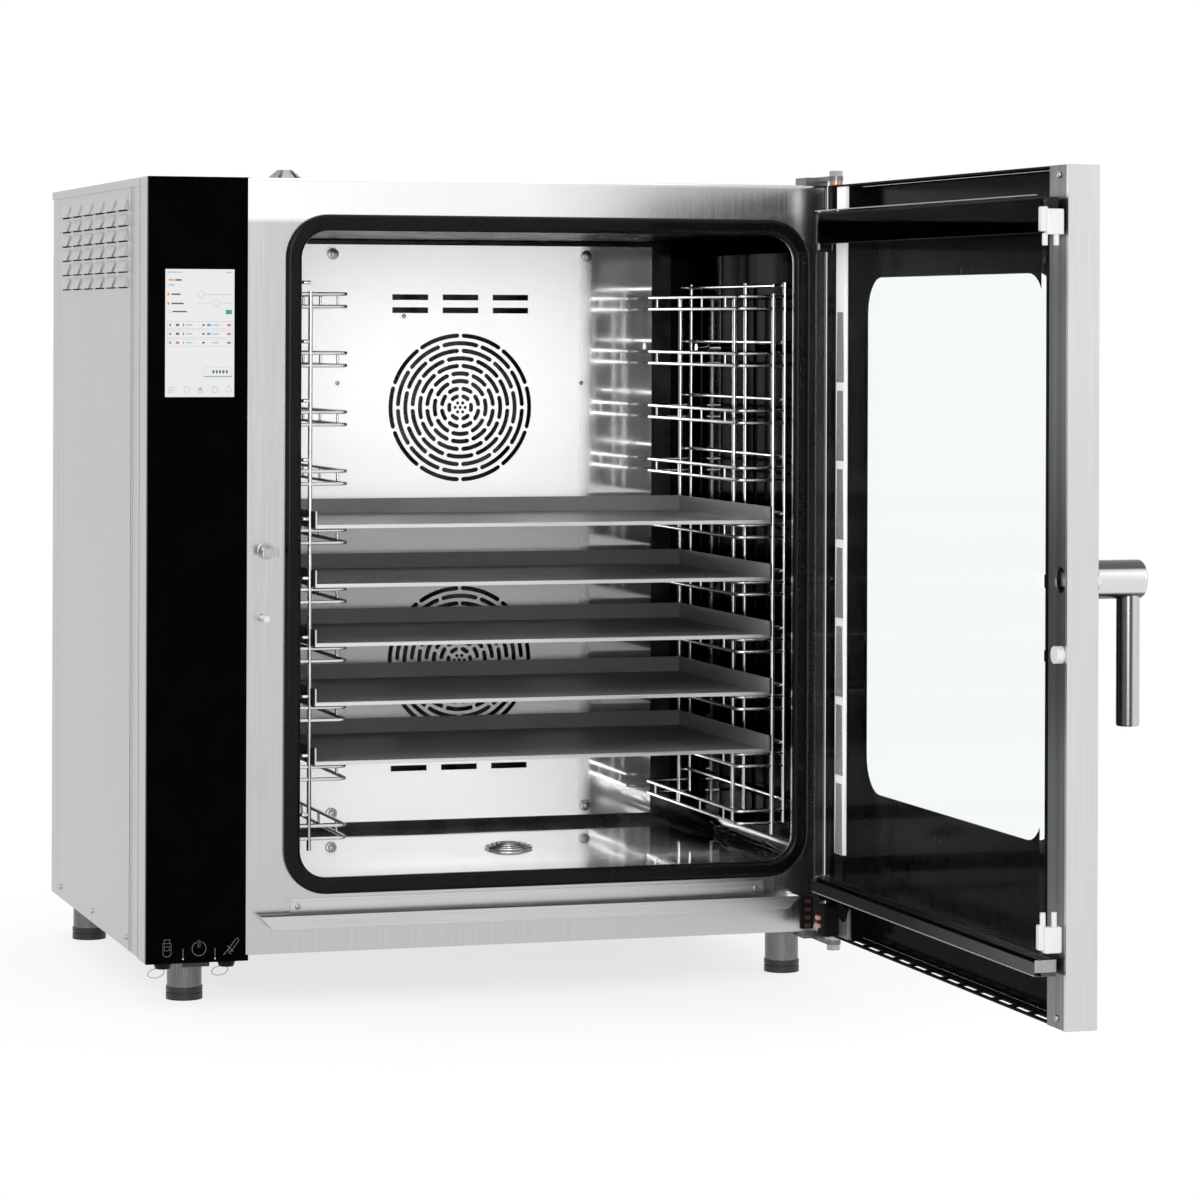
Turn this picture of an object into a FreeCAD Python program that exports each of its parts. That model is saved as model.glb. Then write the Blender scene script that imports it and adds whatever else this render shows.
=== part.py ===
import FreeCAD, Part
import math
import os

from FreeCAD import Vector

os.makedirs("parts", exist_ok=True)

# The drawing starts at the cabinet's left front edge: X to the right, Y to the back, Z up from the floor

# Fits
SEAT_GAP = 0.3
SHAFT_GAP = 0.4
HOLE_GAP = 0.5
PANEL_SEAM = 0.7
PASSAGE_GAP = 2.0
LEVER_SEAT = 0.1

# Cabinet
WIDTH = 777.0
DEPTH = 604.0
TOP_Z = 895.0
SKIRT_Z = 49.0
SHEET = 1.5
LID_FLANGE = 9.0
PAN_LIP = 15.0
REAR_BAND = 38.0
SIDE_X = SHEET
SIDE_INNER_X = SIDE_X + SHEET
LID_UNDER_Z = TOP_Z - SHEET
REAR_Y = DEPTH - SHEET
REAR_INNER_Y = REAR_Y - SHEET
REAR_BAND_Y = REAR_INNER_Y - REAR_BAND

# Control column
CONTROL_WIDTH = 112.0
CONTROL_GLASS = 6.0
HOUSING_BAND = 45.0
PILLAR_BAND = 51.0
PILLAR_Y = HOUSING_BAND + PILLAR_BAND
DISPLAY_LEFT = 18.0
DISPLAY_WIDTH = 77.0
DISPLAY_HEIGHT = 138.0
DISPLAY_DROP = 100.0
DISPLAY_BEZEL = 5.0
DISPLAY_DEPTH = 14.0
DISPLAY_BOTTOM_Z = TOP_Z - DISPLAY_DROP - DISPLAY_HEIGHT

# Louvres in the left side
LOUVRE_COLUMNS = 6
LOUVRE_ROWS = 6
LOUVRE_FRONT_INSET = 26.0
LOUVRE_REAR_INSET = 23.0
LOUVRE_TOP_GAP = 20.0
LOUVRE_PITCH_Z = 17.0
LOUVRE_LENGTH = 58.0
LOUVRE_HEIGHT = 13.0
LOUVRE_PROUD = 5.5
LOUVRE_TAPER = 5.0
LOUVRE_WALL = 1.2
LOUVRE_RIDGE = 0.3
LOUVRE_START_Y = PILLAR_Y + LOUVRE_FRONT_INSET
LOUVRE_END_Y = REAR_BAND_Y - LOUVRE_REAR_INSET
LOUVRE_PITCH_Y = (LOUVRE_END_Y - LOUVRE_LENGTH - LOUVRE_START_Y) / (LOUVRE_COLUMNS - 1)

# Ports under the control column
PORT_Y = 24.0
PORT_SPACING = 35.0
PORT_OFFSET = 2.0
POWER_X = CONTROL_WIDTH / 2 + PORT_OFFSET
USB_X = POWER_X - PORT_SPACING
PROBE_X = POWER_X + PORT_SPACING
CAP_RADIUS = 11.0
CAP_TIP_RADIUS = 8.0
CAP_HEIGHT = 8.0
PLUG_RADIUS = 6.0
PLUG_LENGTH = 9.0
BUTTON_WIDTH = 30.0
BUTTON_DEPTH = 14.0
BUTTON_PROUD = 7.0
BUTTON_RIM = 2.0

# Front frame, opening and gasket
FRAME_RISE = 6.0
FRAME_SHEET = 2.0
FRAME_ROUND = 4.0
FRAME_LEFT_STILE = 56.0
FRAME_RIGHT_STILE = 42.0
FRAME_SILL = 81.0
FRAME_HEAD = 57.0
FRAME_BOTTOM_Z = SKIRT_Z + FRAME_RISE
OPENING_LEFT = CONTROL_WIDTH + FRAME_LEFT_STILE
OPENING_RIGHT = WIDTH - FRAME_RIGHT_STILE
OPENING_BOTTOM_Z = FRAME_BOTTOM_Z + FRAME_SILL
OPENING_TOP_Z = TOP_Z - FRAME_HEAD
OPENING_ROUND = 30.0
QUARTER_TURN = 90.0
FILLET_PIECES = 3
FILLET_ANGLE = QUARTER_TURN / FILLET_PIECES
GASKET_WIDTH = 18.0
GASKET_PROUD = 8.0
GASKET_ROUND = 5.0

# Cavity
CAVITY_REVEAL = 17.0
CAVITY_SINK = 3.0
CAVITY_REAR_SPACE = 114.0
CAVITY_LEFT = OPENING_LEFT
CAVITY_RIGHT = OPENING_RIGHT + CAVITY_REVEAL
CAVITY_FLOOR_Z = OPENING_BOTTOM_Z - CAVITY_SINK
CAVITY_CEILING_Z = OPENING_TOP_Z
CAVITY_BACK_Y = DEPTH - CAVITY_REAR_SPACE
CAVITY_WALL_BACK_Y = CAVITY_BACK_Y + SHEET
COVE_RADIUS = 18.0
WOOL_SIDE = 18.0
WOOL_TOP = 42.0
WOOL_BOTTOM = 28.0
WOOL_BACK = 28.0
WOOL_FRONT_GAP = 2.0

# Fans and baffle
FAN_OFFSET = 4.0
FAN_DROP = 201.0
FAN_RISE = 200.0
FAN_X = (CAVITY_LEFT + CAVITY_RIGHT) / 2 + FAN_OFFSET
FAN_UPPER_Z = CAVITY_CEILING_Z - FAN_DROP
FAN_LOWER_Z = CAVITY_FLOOR_Z + FAN_RISE
BAFFLE_STAND = 65.0
BAFFLE_LEFT_GAP = 54.0
BAFFLE_RIGHT_GAP = 46.0
BAFFLE_FLOOR_GAP = 9.0
BAFFLE_TOP_GAP = 6.0
BAFFLE_Y = CAVITY_BACK_Y - BAFFLE_STAND
BAFFLE_LEFT = CAVITY_LEFT + BAFFLE_LEFT_GAP
BAFFLE_RIGHT = CAVITY_RIGHT - BAFFLE_RIGHT_GAP
BAFFLE_BOTTOM_Z = CAVITY_FLOOR_Z + BAFFLE_FLOOR_GAP
BAFFLE_TOP_Z = CAVITY_CEILING_Z - BAFFLE_TOP_GAP
BAFFLE_FLANGE = 15.0
BAFFLE_STUD_RADIUS = 5.0
BAFFLE_STUD_INSET_X = 84.0
BAFFLE_STUD_INSET_Z = 11.5
GRILLE_RADIUS = 86.5
GRILLE_RINGS = 9
GRILLE_RING_PITCH = 9.1
GRILLE_SLOT = 5.2
GRILLE_BRIDGE = 3.0
GRILLE_OUTER_SLOTS = 10
GRILLE_MIDDLE_SLOTS = 8
GRILLE_INNER_SLOTS = 6
GRILLE_MIDDLE_RINGS = 2
GRILLE_CENTRE_HOLES = 6
GRILLE_CENTRE_RADIUS = 6.2
GRILLE_CENTRE_HOLE = 2.2
AIR_SLOT_LENGTH = 44.5
AIR_SLOT_HEIGHT = 6.9
AIR_SLOT_PITCH_X = 62.5
AIR_SLOT_PITCH_Z = 15.6
AIR_SLOT_EDGE = 62.5
WHEEL_RADIUS = 78.0
WHEEL_DEPTH = 34.0
WHEEL_WALL_GAP = 8.0
WHEEL_BACK_Y = CAVITY_BACK_Y - WHEEL_WALL_GAP
WHEEL_FRONT_Y = WHEEL_BACK_Y - WHEEL_DEPTH
WHEEL_DISC = 2.0
WHEEL_BLADES = 18
WHEEL_BLADE_INNER = 50.0
WHEEL_RING_WIDTH = 10.0
WHEEL_HUB_RADIUS = 16.0
SHAFT_RADIUS = 6.0
SHAFT_NOSE = 4.0
SHAFT_IN_MOTOR = 60.0
MOTOR_NOSE_RADIUS = 25.0
MOTOR_WOOL_GAP = 3.0
MOTOR_NOSE = WOOL_BACK + MOTOR_WOOL_GAP
MOTOR_RADIUS = 45.0
MOTOR_LENGTH = 74.0
HEATER_RADIUS = 100.0
HEATER_ROD = 4.2
HEATER_STAND = 28.0
HEATER_Y = CAVITY_BACK_Y - HEATER_STAND
HEATER_LEG_SPREAD = 22.0

# Tray racks and trays
RACK_OFFSET = 2.0
RACK_WALL_GAP = 22.0
RACK_ARM = 42.0
RACK_FRONT_Y = 57.0
RACK_BACK_GAP = 41.0
RACK_MIDDLE_SHARE = 0.367
RACK_LEVELS = 10
RACK_LIFT = 45.0
RACK_HEADROOM = 75.0
RACK_MID_X = FAN_X - RACK_OFFSET
RACK_POST = (CAVITY_RIGHT - CAVITY_LEFT) / 2 - RACK_WALL_GAP
RACK_REACH = RACK_POST - RACK_ARM
RACK_BACK_Y = BAFFLE_Y - RACK_BACK_GAP
RACK_MIDDLE_Y = RACK_FRONT_Y + RACK_MIDDLE_SHARE * (RACK_BACK_Y - RACK_FRONT_Y)
RACK_LEVEL_Z = CAVITY_FLOOR_Z + RACK_LIFT
RACK_PITCH = (CAVITY_CEILING_Z - RACK_HEADROOM - RACK_LEVEL_Z) / (RACK_LEVELS - 1)
RACK_LOOP_GAP = 13.0
RACK_KEEPER_RISE = 13.0
RACK_FOOT_DROP = 20.0
RACK_HEAD_RISE = 4.0
RACK_LINKS = 4
WIRE_RADIUS = 2.6
WIRE_FLAT = WIRE_RADIUS * math.cos(math.radians(30))
RACK_STUD_RADIUS = 5.0
RACK_STUD_LEVELS = (1, 8)
RACK_STUD_INSET_Y = 60.0
TRAY_COUNT = 5
TRAY_FIRST_LEVEL = 1
TRAY_SIDE_GAP = 5.0
TRAY_BACK_GAP = 9.0
TRAY_FRONT_Y = 50.0
TRAY_WIDTH = 2 * (RACK_POST - TRAY_SIDE_GAP)
TRAY_DEPTH = RACK_BACK_Y - TRAY_BACK_GAP - TRAY_FRONT_Y
TRAY_SHEET = 1.5
TRAY_RIM = 19.0
TRAY_FRONT_LIP = 4.0

# Steam, water and drain
DRAIN_FROM_BACK = 281.0
DRAIN_RUN_RISE = 35.0
DRAIN_X = FAN_X
DRAIN_Y = CAVITY_BACK_Y - DRAIN_FROM_BACK
DRAIN_RUN_Z = SKIRT_Z + DRAIN_RUN_RISE
DRAIN_PIPE_RADIUS = 16.0
DRAIN_PIPE_WALL = 2.0
DRAIN_BEND = 25.0
DRAIN_STUB = 26.0
DRAIN_STUB_RADIUS = 18.0
STRAINER_RADIUS = 28.0
STRAINER_HEIGHT = 7.0
STRAINER_RIM = 2.0
STRAINER_HOLES = 8
STRAINER_HOLE_RADIUS = 3.0
STRAINER_HOLE_CIRCLE = 15.0
VENT_FROM_LEFT = 87.5
VENT_FROM_BACK = 28.0
VENT_X = CAVITY_LEFT + VENT_FROM_LEFT
VENT_Y = CAVITY_BACK_Y - VENT_FROM_BACK
VENT_PIPE_RADIUS = 17.0
VENT_PIPE_WALL = 1.5
VENT_CAP_RADIUS = 21.0
VENT_CAP_SIDE = 16.0
VENT_CAP_CROWN = 10.0
VENT_CAP_TOP_RADIUS = 9.0
VENT_SLOTS = 3
VENT_SLOT = 4.0
VALVE_INSET = 137.0
VALVE_RISE = 71.0
VALVE_X = WIDTH - VALVE_INSET
VALVE_Z = SKIRT_Z + VALVE_RISE
VALVE_SIZE = 40.0
INLET_RADIUS = 13.0
INLET_LENGTH = 21.5
INLET_NECK_RADIUS = 11.0
INLET_BORE = 8.0
STEAM_PIPE_RADIUS = 4.0
STEAM_END_GAP = 18.0
STEAM_BEND = 20.0
STEAM_TOP_Z = (FAN_UPPER_Z + FAN_LOWER_Z) / 2
STEAM_END_Y = CAVITY_BACK_Y - STEAM_END_GAP
GLAND_X = 110.0
GLAND_RISE = 61.0
GLAND_Z = SKIRT_Z + GLAND_RISE
GLAND_RADIUS = 15.0
GLAND_NECK_RADIUS = 10.0
GLAND_BORE = 6.5
GLAND_NUT = 7.0
GLAND_DOME = 12.0

# Electronics
BOARD_PLATE_X = 60.0
BOARD_FRONT_Y = 130.0
BOARD_REAR_GAP = 74.0
BOARD_TOP_GAP = 275.0
BOARD_BACK_Y = DEPTH - BOARD_REAR_GAP
BOARD_TOP_Z = TOP_Z - BOARD_TOP_GAP
BOARD_FOOT = 20.0
BLOCK_DEPTH = 30.0
BLOCK_LENGTH = 80.0
BLOCK_HEIGHT = 60.0
BLOCK_PITCH = 150.0
BLOCK_COUNT = 3
COOLER_X = 78.0
COOLER_DROP = 195.0
COOLER_Z = TOP_Z - COOLER_DROP
COOLER_SIZE = 119.0
COOLER_DEPTH = 38.0
COOLER_BORE = 57.0
COOLER_STRUT = 5.0
COOLER_HUB = 21.0
COOLER_AXLE = 3.0
COOLER_BLADES = 7
COOLER_BLADE_TIP = 54.0
COOLER_BLADE_CHORD = 22.0
COOLER_BLADE_PITCH = 35.0

# Slots in the rear panel
REAR_SLOT_LENGTH = 90.0
REAR_SLOT_HEIGHT = 5.0
REAR_SLOT_PITCH = 14.0
REAR_SLOT_COUNT = 7

# Feet
FOOT_FRONT_LEFT_X = 56.5
FOOT_FRONT_RIGHT_INSET = 27.5
FOOT_FRONT_RIGHT_X = WIDTH - FOOT_FRONT_RIGHT_INSET
FOOT_FRONT_Y = 71.5
FOOT_REAR_INSET = 36.0
FOOT_REAR_GAP = 67.0
FOOT_REAR_Y = DEPTH - FOOT_REAR_GAP
FOOT_TUBE_RADIUS = 19.0
FOOT_END_RADIUS = 20.0
FOOT_END_HEIGHT = 14.0
FOOT_GROOVE = 1.4
FOOT_GROOVE_BOTTOM_Z = 7.0
FOOT_GROOVE_TOP_Z = 9.0

# Drip gutter
GUTTER_LEFT_INSET = 9.0
GUTTER_RIGHT_INSET = 39.0
GUTTER_RISE = 43.0
GUTTER_LEFT = CONTROL_WIDTH + GUTTER_LEFT_INSET
GUTTER_RIGHT = WIDTH - GUTTER_RIGHT_INSET
GUTTER_TOP_Z = FRAME_BOTTOM_Z + GUTTER_RISE
GUTTER_HEIGHT = 14.0
GUTTER_PROUD = 22.0
GUTTER_FLANGE_INSET = 37.0
GUTTER_FLANGE_HEIGHT = 16.0

# Door, drawn shut and then swung open
DOOR_OPEN_ANGLE = 90.0
DOOR_GAP = 1.0
DOOR_THICK = 33.0
DOOR_GLASS = 6.0
DOOR_SHEET = 2.0
HINGE_INSET = 7.0
HINGE_X = WIDTH - HINGE_INSET
HINGE_Y = -43.0
CHANNEL_WIDTH = 45.0
POST_SIZE = 14.0
POST_WALL = 1.5
POST_SINK = 0.5
DOOR_LEFT = CONTROL_WIDTH + DOOR_GAP
DOOR_RIGHT = HINGE_X + POST_SIZE / 2
DOOR_BOTTOM_Z = FRAME_BOTTOM_Z + DOOR_GAP
DOOR_TOP_Z = LID_UNDER_Z
DOOR_INNER_Y = HINGE_Y + POST_SIZE / 2 + POST_SINK
DOOR_OUTER_Y = DOOR_INNER_Y - DOOR_THICK
DOOR_GLASS_BACK_Y = DOOR_OUTER_Y + DOOR_GLASS
PLATE_SLOTS = 12
PLATE_SLOT_LENGTH = 38.0
PLATE_SLOT_WIDTH = 8.5
PLATE_SLOT_OFFSET = 4.0
PLATE_SLOT_FREE_INSET = 82.0
PLATE_SLOT_HINGE_INSET = 72.0
PLATE_SLOT_FIRST_X = DOOR_LEFT + PLATE_SLOT_FREE_INSET
PLATE_SLOT_LAST_X = HINGE_X - PLATE_SLOT_HINGE_INSET
PLATE_SLOT_PITCH = (PLATE_SLOT_LAST_X - PLATE_SLOT_FIRST_X) / (PLATE_SLOTS - 1)

# Hinge brackets and shoulder bolts
BRACKET_INSET = 25.0
BRACKET_LEFT = WIDTH - BRACKET_INSET
BRACKET_FRONT_Y = 5.0
BRACKET_BACK_Y = 40.0
ARM_WIDTH = 16.0
ARM_THICK = 5.0
PIN_RADIUS = 5.0
PIN_SHOULDER_RADIUS = 7.0
PIN_SHOULDER = 5.0
PIN_HEAD_RADIUS = 8.0
PIN_HEAD = 6.0
PIN_REACH = 30.0

# Inner pane of the door, its rails, pivots and clips
PANE_SEAL_GAP = 2.0
PANE_LEFT_INSET = 5.5
PANE_RIGHT_INSET = 24.0
PANE_BOTTOM_INSET = 54.0
PANE_TOP_INSET = 33.5
PANE_THICK = 5.0
PANE_LEFT = DOOR_LEFT + PANE_LEFT_INSET
PANE_RIGHT = HINGE_X - PANE_RIGHT_INSET
PANE_BOTTOM_Z = DOOR_BOTTOM_Z + PANE_BOTTOM_INSET
PANE_TOP_Z = DOOR_TOP_Z - PANE_TOP_INSET
PANE_FACE_Y = -GASKET_PROUD - PANE_SEAL_GAP
PANE_BACK_Y = PANE_FACE_Y - PANE_THICK
PANE_NOTCH_GAP = 2.0
RAIL_INSET = 8.0
RAIL_OVERHANG = 6.0
RAIL_LEFT = PANE_LEFT + RAIL_INSET
RAIL_RIGHT = PANE_RIGHT + RAIL_OVERHANG
RAIL_DEPTH = 16.0
RAIL_LIP = 2.0
RAIL_WALL = 2.0
TOP_RAIL_HEIGHT = 34.0
BOTTOM_RAIL_HEIGHT = 16.0
PIVOT_OVERHANG = 2.0
PIVOT_BEHIND = 12.0
PIVOT_X = PANE_RIGHT + PIVOT_OVERHANG
PIVOT_Y = PANE_FACE_Y - PIVOT_BEHIND
PIVOT_RADIUS = 3.0
PIVOT_LENGTH = 8.0
LUG_REACH = 5.0
LUG_LEFT = PIVOT_X - LUG_REACH
LUG_FRONT_Y = PANE_BACK_Y - HOLE_GAP
LUG_DEPTH = 13.0
LUG_HEIGHT = 9.0
CLIP_OVERHANG = 4.5
CLIP_RAIL_GAP = 2.0
CLIP_PROUD = 1.5
CLIP_HEIGHT = 26.0
CLIP_TOP_INSET = 35.0
CLIP_BOTTOM_INSET = 29.0
CLIP_LEFT = PANE_LEFT - CLIP_OVERHANG
CLIP_RIGHT = RAIL_LEFT - CLIP_RAIL_GAP
CLIP_UPPER_Z = PANE_TOP_Z - CLIP_TOP_INSET
CLIP_LOWER_Z = PANE_BOTTOM_Z + CLIP_BOTTOM_INSET
CLIP_FRONT_Y = PANE_FACE_Y + CLIP_PROUD
CLIP_ROUND = 2.0

# Light strip on the hinge side of the door
LIGHT_WIDTH = 35.0
LIGHT_DEPTH = 5.0
LIGHT_RIGHT = HINGE_X - POST_SIZE / 2
LIGHT_BOTTOM_Z = DOOR_BOTTOM_Z + DOOR_SHEET
LIGHT_TOP_Z = DOOR_TOP_Z - DOOR_SHEET
LIGHT_FRONT_Y = HINGE_Y + LIGHT_DEPTH

# Latch, door switch and handle
LATCH_INSET = 17.0
LATCH_RISE = 16.25
LATCH_X = DOOR_LEFT + LATCH_INSET
LATCH_Z = (DOOR_BOTTOM_Z + DOOR_TOP_Z) / 2 + LATCH_RISE
STRIKER_BASE_RADIUS = 9.0
STRIKER_BASE = 2.0
STRIKER_STEM_RADIUS = 4.0
STRIKER_LENGTH = 29.0
STRIKER_HEAD_WIDTH = 17.0
STRIKER_HEAD_HEIGHT = 9.0
STRIKER_HEAD = 6.0
LATCH_HOLE_RADIUS = 13.0
SWITCH_INSET = 13.0
SWITCH_DROP = 72.0
SWITCH_X = DOOR_LEFT + SWITCH_INSET
SWITCH_Z = LATCH_Z - SWITCH_DROP
SWITCH_BODY = 20.0
SWITCH_DEPTH = 22.0
PLUNGER_RADIUS = 3.5
PLUNGER_PROUD = 24.0
PLUNGER_INSIDE = 12.0
PAD_RADIUS = 8.5
PAD_THICK = 8.0
HUB_RADIUS = 19.0
HUB_LENGTH = 52.5
HUB_ROUND = 4.0
SPINDLE_RADIUS = 5.0
CAM_WIDTH = 22.0
CAM_HEIGHT = 14.0
CAM_THICK = 6.0
CAM_SHEET_GAP = 3.5
CAM_BACK_Y = DOOR_INNER_Y - DOOR_SHEET - CAM_SHEET_GAP
LEVER_RADIUS = 11.5
LEVER_END_INSET = 14.0
LEVER_DROP = 143.0
LEVER_BOTTOM_Z = LATCH_Z - LEVER_DROP
LEVER_ROUND = 2.0

ORIGIN = Vector((FOOT_FRONT_LEFT_X + FOOT_FRONT_RIGHT_X) / 2, FOOT_FRONT_Y, 0)
X_AXIS = Vector(1, 0, 0)
Y_AXIS = Vector(0, 1, 0)
Z_AXIS = Vector(0, 0, 1)


# Drawing helpers


def box(x0, x1, y0, y1, z0, z1):
    return Part.makeBox(x1 - x0, y1 - y0, z1 - z0, Vector(x0, y0, z0))


def rod_x(x0, x1, y, z, radius):
    return Part.makeCylinder(radius, x1 - x0, Vector(x0, y, z), X_AXIS)


def rod_y(x, y0, y1, z, radius):
    return Part.makeCylinder(radius, y1 - y0, Vector(x, y0, z), Y_AXIS)


def rod_z(x, y, z0, z1, radius):
    return Part.makeCylinder(radius, z1 - z0, Vector(x, y, z0), Z_AXIS)


def fuse(shapes):
    return shapes[0].multiFuse(shapes[1:]).removeSplitter()


def cut(shape, tools):
    return shape.cut(Part.makeCompound(tools))


def prism(points, along):
    return Part.Face(Part.makePolygon(points + points[:1])).extrude(along)


def rectangle_wire(x0, x1, z0, z1, y):
    corners = [Vector(x0, y, z0), Vector(x1, y, z0), Vector(x1, y, z1), Vector(x0, y, z1)]
    return Part.makePolygon(corners + corners[:1])


def chain(points):
    return [Part.makeLine(start, end) for start, end in zip(points, points[1:])]


def hexagon_wire(x, y, z, radius):
    corners = []
    for i in range(6):
        angle = math.pi * i / 3
        corners.append(Vector(x + radius * math.cos(angle), y, z + radius * math.sin(angle)))
    return Part.makePolygon(corners + corners[:1])


def circle_wire(x, y, z, radius):
    return Part.Wire(Part.makeCircle(radius, Vector(x, y, z), Y_AXIS))


def holed_sheet(outline, holes, along):
    # A flat sheet with all its holes, made from one face
    return Part.makeFace([outline] + holes, "Part::FaceMakerBullseye").extrude(along)


def rounded_block(x0, x1, y0, y1, z0, z1, radius):
    # A block whose four edges along Y are rounded
    block = box(x0, x1, y0, y1, z0, z1)
    edges = [e for e in block.Edges if abs(e.tangentAt(e.FirstParameter).y) > 0.9]
    return block.makeFillet(radius, edges)


def hexagon_bar(start, end, flat_towards):
    # A drawn wire, six-sided, with two of its flats facing flat_towards
    along = (end - start).normalize()
    side = along.cross(flat_towards).normalize()
    points = []
    for i in range(6):
        angle = math.radians(60 * i)
        spoke = side * math.cos(angle) + flat_towards * math.sin(angle)
        points.append(start + spoke * WIRE_RADIUS)
    return prism(points, end - start)


def pipe(points, bend, radius):
    # A round bar along straight runs joined by tangent quarter bends
    edges = []
    start = points[0]
    for before, corner, after in zip(points, points[1:], points[2:]):
        into = (corner - before).normalize()
        out = (after - corner).normalize()
        first = corner - into * bend
        last = corner + out * bend
        centre = first + out * bend
        edges.append(Part.makeLine(start, first))
        middle = centre + (into - out).normalize() * bend
        edges.append(Part.Arc(first, middle, last).toShape())
        start = last
    edges.append(Part.makeLine(start, points[-1]))
    direction = (points[1] - points[0]).normalize()
    profile = Part.Face(Part.Wire(Part.makeCircle(radius, points[0], direction)))
    return Part.Wire(edges).makePipe(profile)


def swing_open(shape):
    opened = shape.copy()
    opened.rotate(Vector(HINGE_X, HINGE_Y, 0), Z_AXIS, DOOR_OPEN_ANGLE)
    return opened


def save(name, shape):
    placed = shape.copy()
    placed.translate(ORIGIN * -1)
    placed.exportStep("parts/" + name + ".step")


# Cabinet shells


def base_pan():
    outer = box(SIDE_INNER_X, WIDTH - SIDE_INNER_X, HOUSING_BAND, REAR_INNER_Y, SKIRT_Z, SKIRT_Z + PAN_LIP)
    inner = box(
        SIDE_INNER_X + SHEET,
        WIDTH - SIDE_INNER_X - SHEET,
        HOUSING_BAND + SHEET,
        REAR_INNER_Y - SHEET,
        SKIRT_Z + SHEET,
        SKIRT_Z + PAN_LIP + SHEET,
    )
    return outer.cut(inner)


def louvre_wedge(length, height, proud, back, drop, taper):
    # A hood that leans out towards its lower edge, with slanted ends
    half = length / 2
    wedge = Part.makeWedge(
        -proud, -drop, -half, taper - half, -LOUVRE_RIDGE, back, height, half, half - taper, back
    )
    wedge.rotate(Vector(0, 0, 0), X_AXIS, 90)
    return wedge


def left_side_panel():
    front_y = PILLAR_Y + PANEL_SEAM
    sheet = box(SIDE_X, SIDE_INNER_X, front_y, REAR_BAND_Y - PANEL_SEAM, SKIRT_Z, LID_UNDER_Z)
    hood = louvre_wedge(LOUVRE_LENGTH, LOUVRE_HEIGHT, LOUVRE_PROUD, SHEET, 0, LOUVRE_TAPER)
    hollow = louvre_wedge(
        LOUVRE_LENGTH - 2 * LOUVRE_WALL,
        LOUVRE_HEIGHT - 2 * LOUVRE_WALL,
        LOUVRE_PROUD - LOUVRE_WALL,
        2 * SHEET,
        LOUVRE_WALL,
        LOUVRE_TAPER,
    )
    hoods = []
    hollows = []
    for column in range(LOUVRE_COLUMNS):
        for row in range(LOUVRE_ROWS):
            place = Vector(
                SIDE_X,
                LOUVRE_START_Y + LOUVRE_LENGTH / 2 + column * LOUVRE_PITCH_Y,
                TOP_Z - LOUVRE_TOP_GAP - LOUVRE_HEIGHT - row * LOUVRE_PITCH_Z,
            )
            hoods.append(hood.translated(place))
            hollows.append(hollow.translated(place))
    return cut(sheet.multiFuse(hoods), hollows)


def right_side_panel():
    front_y = HOUSING_BAND + PANEL_SEAM
    rear_y = REAR_BAND_Y - PANEL_SEAM
    return box(WIDTH - SIDE_INNER_X, WIDTH - SIDE_X, front_y, rear_y, SKIRT_Z, LID_UNDER_Z)


def top_cover():
    outer = box(0, WIDTH, HOUSING_BAND + PANEL_SEAM, DEPTH, TOP_Z - LID_FLANGE, TOP_Z)
    inner = box(SHEET, WIDTH - SHEET, 0, REAR_Y, 0, LID_UNDER_Z)
    vent_hole = rod_z(VENT_X, VENT_Y, 0, TOP_Z + SHEET, VENT_PIPE_RADIUS + HOLE_GAP)
    return cut(outer, [inner, vent_hole])


def rear_slots(middle_x, middle_z):
    left = middle_x - REAR_SLOT_LENGTH / 2
    right = middle_x + REAR_SLOT_LENGTH / 2
    slots = []
    for i in range(REAR_SLOT_COUNT):
        z = middle_z + (i - (REAR_SLOT_COUNT - 1) / 2) * REAR_SLOT_PITCH
        slots.append(rectangle_wire(left, right, z, z + REAR_SLOT_HEIGHT, REAR_INNER_Y))
    return slots


def rear_panel():
    outline = rectangle_wire(SIDE_X, WIDTH - SIDE_X, SKIRT_Z, LID_UNDER_Z, REAR_INNER_Y)
    holes = [
        circle_wire(DRAIN_X, REAR_INNER_Y, DRAIN_RUN_Z, DRAIN_PIPE_RADIUS + HOLE_GAP),
        circle_wire(VALVE_X, REAR_INNER_Y, VALVE_Z, INLET_NECK_RADIUS + HOLE_GAP),
        circle_wire(GLAND_X, REAR_INNER_Y, GLAND_Z, GLAND_NECK_RADIUS + HOLE_GAP),
    ]
    for x, z in ((FAN_X, FAN_UPPER_Z), (FAN_X, FAN_LOWER_Z), (COOLER_X, COOLER_Z)):
        holes += rear_slots(x, z)
    back = holed_sheet(outline, holes, Vector(0, SHEET, 0))
    bands = [
        box(x, x + SHEET, REAR_BAND_Y, REAR_INNER_Y, SKIRT_Z, LID_UNDER_Z)
        for x in (SIDE_X, WIDTH - SIDE_INNER_X)
    ]
    return fuse([back] + bands)


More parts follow.
